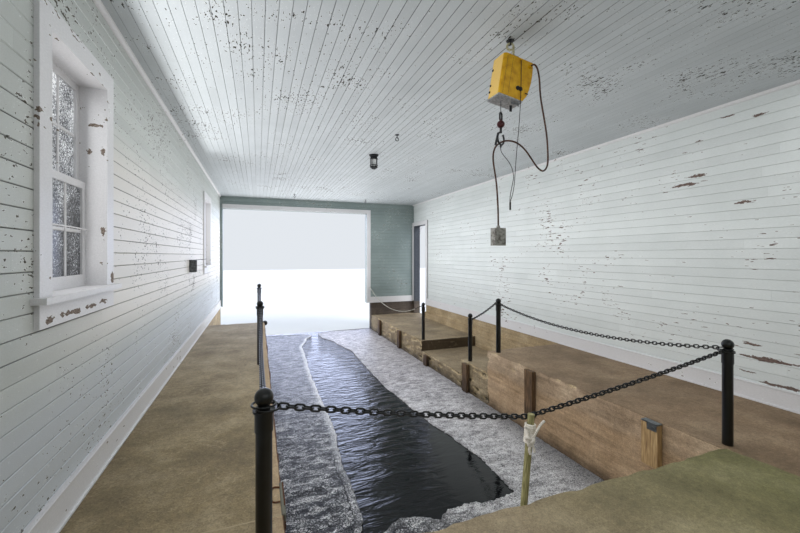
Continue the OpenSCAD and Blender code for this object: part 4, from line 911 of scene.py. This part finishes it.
def ice_shelf(form, across, fixed, rim, columns=22):
    # A thin plate from the wall line at fixed to a wavy rim, as a grid that crowds towards its rim
    first, last = rim[0][0], rim[-1][0]
    steps = max(12, round((last - first) / 0.02))
    inland = form.verts.layers.float.get("inland") or form.verts.layers.float.new("inland")
    before = set(form.verts)
    bmesh.ops.create_grid(form, x_segments=columns, y_segments=steps, size=0.5)
    for v in [v for v in form.verts if v not in before]:
        t, run = 1 - (0.5 - v.co.x) ** 2, first + (last - first) * (v.co.y + 0.5)
        for (ra, da), (rb, db) in zip(rim, rim[1:]):
            if ra <= run <= rb + 1e-6:
                ease = (run - ra) / (rb - ra)
                edge = da + (db - da) * (ease * ease * (3 - 2 * ease))
                break
        edge += (0.018 * noise.noise(Vector((fixed, run * 4.0, 0)))
                 + 0.026 * noise.noise(Vector((7, run * 24.0, 0))))
        d = fixed + (edge - fixed) * t
        gap = abs(edge - d)
        swell = 0.008 * noise.fractal(Vector((d * 9, run * 9, 3)), 0.8, 2.0, 3)
        z = 0.004 if t > 0.9999 else max(0.010, 0.015 + swell + 0.009 * math.exp(-gap / 0.03))
        v.co = (d, run, z) if across == "x" else (run, d, z)
        v[inland] = gap


form = bmesh.new()
ice_shelf(form, "x", -1.76, [(-3.68, -1.12), (-2.43, -1.089), (-2.17, -1.036), (-1.37, -1.024), (-0.30, -0.945),
                             (0.66, -0.953), (1.71, -0.945), (4.07, -0.869), (4.44, -0.854), (5.2, -0.66),
                             (5.80, -0.44), (5.96, -0.62), (6.02, -1.3), (6.04, -1.74)])
ice_shelf(form, "x", 1.448, [(-3.68, 0.46), (-2.40, 0.466), (-1.96, 0.490), (-1.72, 0.495), (-1.17, 0.427),
                             (-0.61, 0.334), (0.05, 0.293), (0.89, 0.215), (1.94, 0.211), (3.49, 0.238),
                             (4.60, 0.047), (5.46, -0.212), (6.0, -0.226), (6.2, 0.3), (6.24, 1.43)])
ice_shelf(form, "y", -3.69, [(-1.10, -2.46), (-0.95, -2.478), (-0.73, -2.37), (-0.58, -2.391), (-0.425, -2.484),
                             (-0.26, -2.40), (-0.03, -2.398), (0.17, -2.434), (0.5, -2.40)])
finish_piece("ice_shelves", form, ice, smooth=True)

# Bollards and corner bumper: steel pipe posts with slip on caps, coated in gloss black plastic.
black_coat, place, add = new_material("black_plastic_coat", Roughness=0.28, Coat_Weight=0.3)
orange_peel = add("TexNoise", place, Scale=120.0, Detail=3.0)
dust = add("TexNoise", place, Scale=18.0, Detail=6.0)
tone = add("ValToRGB", dust, ramp=[(0.45, "#060707"), (0.7, "#0F1011"), (0.85, "#2A2A2A")])
sheen = add("MapRange", dust, To_Min=0.2, To_Max=0.5)
skin = add("Bump", Height=orange_peel, Strength=0.15, Distance=0.001)
drive(black_coat, Base_Color=tone, Roughness=sheen, Normal=skin)
dress(black_coat, "left_bollards", "right_bollards", "corner_bumper", "front_chain")

# Side chains: moulded black plastic links, two every 72 mm, hooked over the bollard necks.
wire, link_pitch, link_width = 0.010, 0.036, 0.036
form = bmesh.new()


def add_link(form, start, stride, quarter):
    # One link as a ring swept round a stadium, six sided wire
    span = stride.length + wire
    radius = (link_width - wire) / 2
    straight = span - 2 * radius
    loop = []
    for side, first in ((1, -90), (-1, 90)):
        for k in range(6):
            angle = math.radians(first + 180 * k / 5)
            loop.append(Vector((side * straight / 2 + radius * math.cos(angle), radius * math.sin(angle), 0)))
    ahead = stride.normalized()
    turn = Matrix.Rotation(math.atan2(ahead.y, ahead.x), 4, "Z") @ Matrix.Rotation(-math.asin(ahead.z), 4, "Y")
    turn = turn @ Matrix.Rotation(quarter * math.pi / 2, 4, "X")
    middle = start + stride / 2
    rings = []
    for i, centre in enumerate(loop):
        bend = math.copysign(min(abs(centre.x), straight / 2), centre.x)
        out = Vector((centre.x - bend, centre.y, 0)).normalized()
        rings.append([form.verts.new(middle + (turn @ (centre + wire / 2 * (math.cos(k * math.tau / 6) * out
                                     + Vector((0, 0, math.sin(k * math.tau / 6))))))) for k in range(6)])
    for i in range(len(rings)):
        a, b = rings[i - 1], rings[i]
        for k in range(6):
            form.faces.new((a[k], b[k], b[(k + 1) % 6], a[(k + 1) % 6]))


ring_radius, ring_shift, ring_reach, neck_height, slack = 0.052, 0.0197, 0.0667, 0.735, 0.0003


def neck_ring(form, middle):
    # Ring of wire that hangs loose round a bollard neck
    rings = []
    for k in range(28):
        out = Vector((math.cos(k * math.tau / 28), math.sin(k * math.tau / 28), 0))
        centre = middle + ring_radius * out
        rings.append([form.verts.new(centre + wire / 2 * (math.cos(m * math.tau / 8) * out
                                     + Vector((0, 0, math.sin(m * math.tau / 8))))) for m in range(8)])
    for i in range(28):
        for m in range(8):
            form.faces.new((rings[i - 1][m], rings[i][m], rings[i][(m + 1) % 8], rings[i - 1][(m + 1) % 8]))


def side_chain(name, node, spans, first_ring):
    # The spans of one side, with the ring that the front chain starts from
    form = bmesh.new()
    neck_ring(form, Vector(first_ring))
    for a, b, sag in spans:
        a, b = Vector(a), Vector(b)
        flat = Vector((b.x - a.x, b.y - a.y, 0)).normalized()
        low = neck_height + slack + wire / 2
        high = low + wire + slack
        neck_ring(form, a + ring_shift * flat + Vector((0, 0, high)))
        neck_ring(form, b - ring_shift * flat + Vector((0, 0, low)))
        start = a + ring_reach * flat + Vector((0, 0, high))
        end = b - ring_reach * flat + Vector((0, 0, low))
        span = (end - start).length
        count = 2 * round((span + 8 * sag * sag / (3 * span)) / link_pitch / 2 + 0.5) - 1
        places = [start.lerp(end, i / count) - Vector((0, 0, 4 * sag * (i / count) * (1 - i / count)))
                  for i in range(count + 1)]
        for i, (p, q) in enumerate(zip(places, places[1:])):
            add_link(form, p, q - p, i + 1)
    finish_piece(name, form, black_coat, node, smooth=True)


left_x, right_x = -1.88, 1.57
side_chain("left_chain_links", "left_chain", [((left_x, -3.7, near_z), (left_x, -0.2, near_z), 0.15),
                                              ((left_x, -0.2, near_z), (left_x, 3.02, near_z), 0.14)],
           (-1.8604, -3.6992, 1.6603))
side_chain("right_chain_links", "right_chain", [((right_x, -3.595, right_z), (right_x, -0.54, right_z), 0.13),
                                                ((right_x, -0.54, right_z), (right_x, 0.29, step_z), 0.02)],
           (1.5503, -3.5955, 1.5903))

# Chain pole: a peeled sapling, grey green with age, that leans on the slab's edge.
pole_wood, place, add = new_material("weathered_sapling", Roughness=0.8)
lines = add("Mapping", place, Scale=(1.0, 1.0, 0.08))
grain = add("TexNoise", lines, Scale=160.0, Detail=6.0)
tone = add("ValToRGB", grain, ramp=[(0.3, "#5E5A3C"), (0.5, "#8F8A5E"), (0.7, "#B0A87C")])
fibre = add("Bump", Height=grain, Strength=0.5, Distance=0.002)
drive(pole_wood, Base_Color=tone, Normal=fibre)
dress(pole_wood, "chain_pole")

# Lashing: soft white cord wound round the pole and over the chain, with a bulky knot in front.
soft_white = mottled("soft_white_cord", 260.0, 4.0, [(0.3, "#A9A194"), (0.6, "#E9E3DA")], (0.7, 0.002),
                     Roughness=0.95)
worn_twine, place, add = new_material("worn_twine", Roughness=0.95)
fuzz = add("TexNoise", place, Scale=240.0, Detail=4.0)
soil = add("TexNoise", place, Scale=34.0, Detail=3.0)
mixed = add("Math", fuzz, 0.6, soil, operation="MULTIPLY_ADD")
tone = add("ValToRGB", mixed, ramp=[(0.55, "#A0937C"), (0.72, "#D9D1C3"), (0.9, "#F1ECE3")])
nap = add("Bump", Height=fuzz, Strength=0.7, Distance=0.002)
drive(worn_twine, Base_Color=tone, Normal=nap)
dress(worn_twine, "pole_lashing")

knot_middle = Vector((-0.437, -3.713, 1.275))
toward = Matrix.Rotation(math.radians(-39.4), 3, "Z")
form = bmesh.new()
loops = []
noise.seed_set(3)
for k in range(72):
    t = k / 71 * 0.97 * math.tau
    curl = Vector((math.sin(t) + 2 * math.sin(2 * t), -math.sin(3 * t),
                   1.35 * (math.cos(t) - 2 * math.cos(2 * t))))
    stray = noise.noise_vector(Vector((t * 2.0, 3.0, 1.0)))
    loops.append(knot_middle + 0.0068 * (toward @ curl) + 0.003 * stray)
strand_tube(form, loops, 0.0105, 8)
tails = [[(-0.444, -3.712, 1.295), (-0.446, -3.712, 1.325), (-0.455, -3.708, 1.348), (-0.470, -3.706, 1.356)],
         [(-0.424, -3.722, 1.290), (-0.400, -3.726, 1.330), (-0.365, -3.716, 1.356), (-0.330, -3.706, 1.368)],
         [(-0.437, -3.716, 1.255), (-0.446, -3.718, 1.225), (-0.441, -3.720, 1.200)],
         [(-0.428, -3.722, 1.250), (-0.420, -3.728, 1.228), (-0.424, -3.730, 1.212)]]
for tail in tails:
    strand_tube(form, smooth_route(tail, 5), 0.0075, 8)
finish_piece("lashing_knot", form, soft_white, smooth=True)

# Fenders: rough sawn oak bolted to the slip wall, wet and black at the foot.
wet_oak, place, add = new_material("wet_oak", Roughness=0.7)
where = add("SeparateXYZ", place)
lines = add("Mapping", place, Scale=(1.0, 1.0, 0.1))
grain = add("TexNoise", lines, Scale=70.0, Detail=7.0)
dark_tone = add("ValToRGB", grain, ramp=[(0.3, "#34271A"), (0.55, "#614A32"), (0.75, "#86694A")])
pale_tone = add("ValToRGB", grain, ramp=[(0.3, "#86694A"), (0.55, "#B39468"), (0.75, "#C9AE84")])
newer = add("Math", (where, "Y"), -2.5, operation="LESS_THAN")
tone = add("Mix", newer, dark_tone, pale_tone)
damp = add("MapRange", (where, "Z"), 0.0, 0.45, 0.35, 1.0)
wet = add("Mix", 1.0, tone, damp, blend_type="MULTIPLY")
split = add("Bump", Height=grain, Strength=0.7, Distance=0.004)
drive(wet_oak, Base_Color=wet, Normal=split)
dress(wet_oak, "slip_fenders")

# Fender cap: a strip of galvanised steel folded over the near fender's top, torn, with one bolt.
form = bmesh.new()
plank(form, (1.392, -3.158, 0.832), (1.457, -3.004, 0.845), 0.001)
plank(form, (1.389, -3.150, 0.776), (1.393, -3.060, 0.844), 0.001)
bolt_place = Matrix.Translation((1.387, -3.12, 0.81)) @ Matrix.Rotation(math.radians(-90), 4, "Y")
bmesh.ops.create_cone(form, cap_ends=True, segments=10, radius1=0.009, radius2=0.006, depth=0.006,
                      matrix=bolt_place)
finish_piece("fender_cap", form, cap_metal)

# Mooring rings: forged iron, rusted through.
rust = mottled("rusted_iron", 80.0, 6.0, [(0.3, "#2E1E16"), (0.5, "#5E3A26"), (0.7, "#8A5A3A")], (0.7, 0.002),
               Roughness=0.9, Metallic=0.2)
dress(rust, "mooring_rings")

# Hoist: pressed steel housing in yellow enamel, hung by a cream hook from a black ceiling eye,
# with a bright plate under it, a wire rope and a black load hook.
hoist_eye, hoist_lean = (-0.062, -3.065, 3.831), math.radians(10)
yellow_enamel, place, add = new_material("yellow_enamel", Roughness=0.5, Specular_IOR_Level=0.3)
grime = add("TexNoise", place, Scale=22.0, Detail=7.0)
tone = add("ValToRGB", grime, ramp=[(0.25, "#A37410"), (0.45, "#BE8F0E"), (0.65, "#CC9F18")])
# Painted light: the housing's left face is drawn in a paler yellow than its front
lean_axis = (math.cos(hoist_lean), 0.0, -math.sin(hoist_lean))
from_hook = add("VectorMath", place, hoist_eye, operation="SUBTRACT")
sideways = add("VectorMath", from_hook, lean_axis, operation="DOT_PRODUCT")
lit_left_face = add("Math", (sideways, "Value"), -0.1275, operation="LESS_THAN")
painted_light_tone = add("Mix", lit_left_face, tone, "#DCB868")
chips = add("TexNoise", place, Scale=110.0, Detail=3.0)
chip_mask = add("MapRange", chips, 0.7, 0.71)
chipped = add("Mix", chip_mask, painted_light_tone, "#4A3A20")
dents = add("Bump", Height=grime, Strength=0.2, Distance=0.002)
drive(yellow_enamel, Base_Color=chipped, Normal=dents)
dress(yellow_enamel, "hoist_body")

# Castings and fittings: enamelled hook, cast iron clevis, aluminium plate, stranded steel wire
for name, node, dark, light, roughness, metallic, scale in (
        ("cream_enamel", "hoist_hanger", "#8F8A6C", "#CFC9A6", 0.45, 0.1, 90.0),
        ("green_cast_iron", "hoist_clevis", "#4E584C", "#7C8878", 0.6, 0.3, 120.0),
        ("bright_aluminium", "hoist_plate", "#9EA1A6", "#CFD1D6", 0.35, 0.9, 60.0),
        ("wire_strand", "hoist_rope", "#3A3A3A", "#8A8A88", 0.45, 0.8, 700.0),
        ("outlet_steel", "outlet_box", "#3E4041", "#6E7173", 0.45, 0.6, 50.0),
        ("black_iron", "light_base", "#141516", "#34363A", 0.5, 0.5, 70.0)):
    casting = mottled(name, scale, 6.0, [(0.35, dark), (0.65, light)], (0.25, 0.001), Roughness=roughness,
                      Metallic=metallic)
    dress(casting, node)
black_iron = casting
dress(black_iron, "ceiling_hooks")
hook_iron, place, add = new_material("hook_black_with_red_ball", Roughness=0.45, Metallic=0.3)
where = add("SeparateXYZ", place)
mottle = add("TexNoise", place, Scale=90.0, Detail=6.0)
steel = add("ValToRGB", mottle, ramp=[(0.35, "#141516"), (0.65, "#3A3B3E")])
maroon = add("ValToRGB", mottle, ramp=[(0.35, "#2E1214"), (0.65, "#54282A")])
ball = add("Math", (where, "Z"), 3.342, 0.032, operation="COMPARE")
tone = add("Mix", ball, steel, maroon)
drive(hook_iron, Base_Color=tone)
dress(hook_iron, "load_hook")

# Hoist fittings: black spring clip and slot on the housing's front, lap seams, bolts on its side, and
# the limit lever's tab under the plate.
hoist_frame = Matrix.Translation(hoist_eye) @ Matrix.Rotation(hoist_lean, 4, "Y")
form = bmesh.new()
facing = Matrix.Rotation(math.radians(90), 4, "X")
for shift in (-0.013, 0.013):
    bmesh.ops.create_cone(form, cap_ends=True, segments=20, radius1=0.017, radius2=0.015, depth=0.008,
                          matrix=hoist_frame @ Matrix.Translation((0.037 + shift, -0.0745, -0.231)) @ facing)
before = set(form.verts)
plank(form, (0.095, -0.0735, -0.254), (0.123, -0.0705, -0.245), 0.0008)
plank(form, (-0.0995, -0.0722, -0.302), (-0.098, -0.0705, -0.018), 0.0003)
plank(form, (-0.0515, -0.0722, -0.302), (-0.05, -0.0705, -0.018), 0.0003)
for drop in (0.089, 0.213, 0.264):
    plank(form, (-0.136, 0.052, -drop - 0.008), (-0.128, 0.066, -drop + 0.008), 0.002)
bmesh.ops.transform(form, matrix=hoist_frame, verts=[v for v in form.verts if v not in before])
plank(form, (-0.116, -3.092, 3.434), (-0.095, -3.086, 3.482), 0.0015)
finish_piece("hoist_fittings", form, black_iron)

# Light: a glass jar under the caged holder.
dress(mottled("jar_glass", 60.0, 5.0, [(0.4, "#F4F5F6"), (0.75, "#B9BCB8")], Roughness=0.08, IOR=1.5,
              Transmission_Weight=0.3), "light_globe")

# Light guard: four black bars and two hoops round the jar, closed by a cast plate under it.
form = bmesh.new()
light_x, light_y = -0.12, 0.505
for k in range(4):
    angle = math.tau * (k + 0.5) / 4
    side_x, side_y = light_x + 0.06 * math.cos(angle), light_y + 0.06 * math.sin(angle)
    strand_tube(form, [Vector((side_x, side_y, z)) for z in (3.94, 3.9, 3.85, 3.8)], 0.006, 8)
hoop_angles = [math.tau * k / 24 for k in range(25)]
for height in (3.93, 3.822):
    hoop = [Vector((light_x + 0.062 * math.cos(angle), light_y + 0.062 * math.sin(angle), height))
            for angle in hoop_angles]
    strand_tube(form, hoop, 0.006, 8)
bmesh.ops.create_cone(form, cap_ends=True, segments=32, radius1=0.05, radius2=0.066, depth=0.018,
                      matrix=Matrix.Translation((light_x, light_y, 3.79)))
finish_piece("light_guard", form, black_iron)

# Edge iron: a narrow strap let into the slip's edge in grey mortar above the near mooring ring,
# with an old iron loop that lies beside it on the walkway.
mortar = new_material("grey_mortar", Roughness=0.88, Base_Color="#6C6B60")[0]
form = bmesh.new()
for y, length, drop in ((-3.075, 0.13, 0.03), (-3.19, 0.12, 0.055), (-3.285, 0.09, 0.04)):
    plank(form, (-1.783, y - length / 2, near_z - drop), (-1.759, y + length / 2, near_z + 0.005), 0.006)
finish_piece("slip_edge_mortar", form, mortar)
form = bmesh.new()
plank(form, (-1.766, -3.25, near_z - 0.075), (-1.7575, -3.02, near_z + 0.008), 0.003)
loop_route = [(x, y, near_z + 0.005) for x, y in ((-1.782, -3.068), (-1.812, -3.058), (-1.832, -3.085),
                                                  (-1.834, -3.160), (-1.820, -3.205), (-1.784, -3.210))]
strand_tube(form, smooth_route(loop_route, 4), 0.0045, 8)
finish_piece("slip_edge_iron", form, rust)

# Door casing strip: the far side's board of the side doorway seen on edge, and a dark strip of painted
# shadow for the open joint between the near board and the wall.
casing_top = 3.41
form = bmesh.new()
plank(form, (half_w - 0.030, 6.022, far_z + 0.42), (half_w - 0.001, 6.094, casing_top))
finish_piece("door_casing_strip", form, trim_paint)
form = bmesh.new()
plank(form, (half_w - 0.0035, 4.920, right_z + 0.2), (half_w - 0.0005, 4.940, casing_top), 0.0004)
gap_shade = new_material("gap_shadow_paint", Roughness=0.9, Base_Color="#34373C")[0]
finish_piece("door_casing_gap_shadow", form, gap_shade)

# Studio: pale floor and backdrop, soft lamps at the openings and in the room, and a low lamp outside.
floor_paint = mottled("pale_floor", 0.4, 2.0, [(0.3, "#E4E7EA"), (0.7, "#ECEEF0")], Roughness=0.9)
form = bmesh.new()
bmesh.ops.create_grid(form, x_segments=1, y_segments=1, size=60)
bmesh.ops.translate(form, vec=(0, 0, -0.002), verts=form.verts)
floor_mesh = bpy.data.meshes.new("floor")
form.to_mesh(floor_mesh)
form.free()
floor_mesh.materials.append(floor_paint)
floor = bpy.data.objects.new("floor", floor_mesh)
bpy.context.scene.collection.objects.link(floor)

sky = bpy.data.worlds.new("pale_sky")
sky.use_nodes = True
background = sky.node_tree.nodes["Background"]
background.inputs["Color"].default_value = linear("#E9EEF4")
add = functools.partial(add_node, sky)
ray = add("LightPath")
mirrored = add("Math", (ray, "Is Glossy Ray"), 2.8, 1.2, operation="MULTIPLY_ADD")
strength = add("Math", (ray, "Is Camera Ray"), -0.25, mirrored, operation="MULTIPLY_ADD")
hue = add("Mix", (ray, "Is Glossy Ray"), "#E9EEF4", "#C6D0EE")
connect(sky, hue, background.inputs["Color"])
connect(sky, strength, background.inputs["Strength"])
bpy.context.scene.world = sky


def soft_lamp(name, kind, energy, place, aim, mirrored=False, **settings):
    # A lamp that no camera sees, turned to its aim
    lamp = bpy.data.lights.new(name, kind)
    lamp.energy = energy
    for key, value in settings.items():
        setattr(lamp, key, value)
    stand = bpy.data.objects.new(name, lamp)
    stand.location = place
    stand.rotation_euler = (Vector(aim) - Vector(place)).to_track_quat("-Z", "Y").to_euler()
    stand.visible_camera = False
    stand.visible_glossy = mirrored
    bpy.context.scene.collection.objects.link(stand)


for name, energy, place, aim, size, size_y in (
        ("back_fill", 16, (-0.3, -5.9, 3.0), (0.3, 0.0, 1.9), 4.5, 1.6),
        ("lake_light", 88, (-0.75, 6.2, 2.2), (-0.75, 0.0, 2.2), 3.9, 2.7),
        ("floor_bounce", 110, (-0.15, 1.6, 1.2), (-0.15, 1.6, 4.0), 2.4, 8.4),
        ("ceiling_fill", 78, (-0.2, 1.5, 3.7), (-0.2, 1.5, 0.0), 4.6, 8.6),
        ("slip_fill", 25, (-1.6, 0.0, 1.1), (1.4, 0.0, 0.5), 8.0, 0.6),
        ("left_bounce", 52, (-2.7, -1.6, 3.4), (2.9, -1.6, 3.6), 5.6, 0.9),
        ("slab_fill", 27, (0.5, -4.5, 3.9), (0.5, -4.3, 0.9), 4.4, 1.9)):
    soft_lamp(name, "AREA", energy, place, aim, mirrored=name == "back_fill", shape="RECTANGLE", size=size,
              size_y=size_y)
for y, a in windows:
    soft_lamp("window_light", "AREA", 3.5, (-2.985, y, 2.8), (0.0, y, 2.8), shape="RECTANGLE",
              size=2 * a - 0.1, size_y=1.15)
soft_lamp("low_sun", "SUN", 1.6, (8, -9, 12), (0, 0, 1), mirrored=True, angle=math.radians(25))
bpy.context.scene.view_settings.view_transform = "Standard"
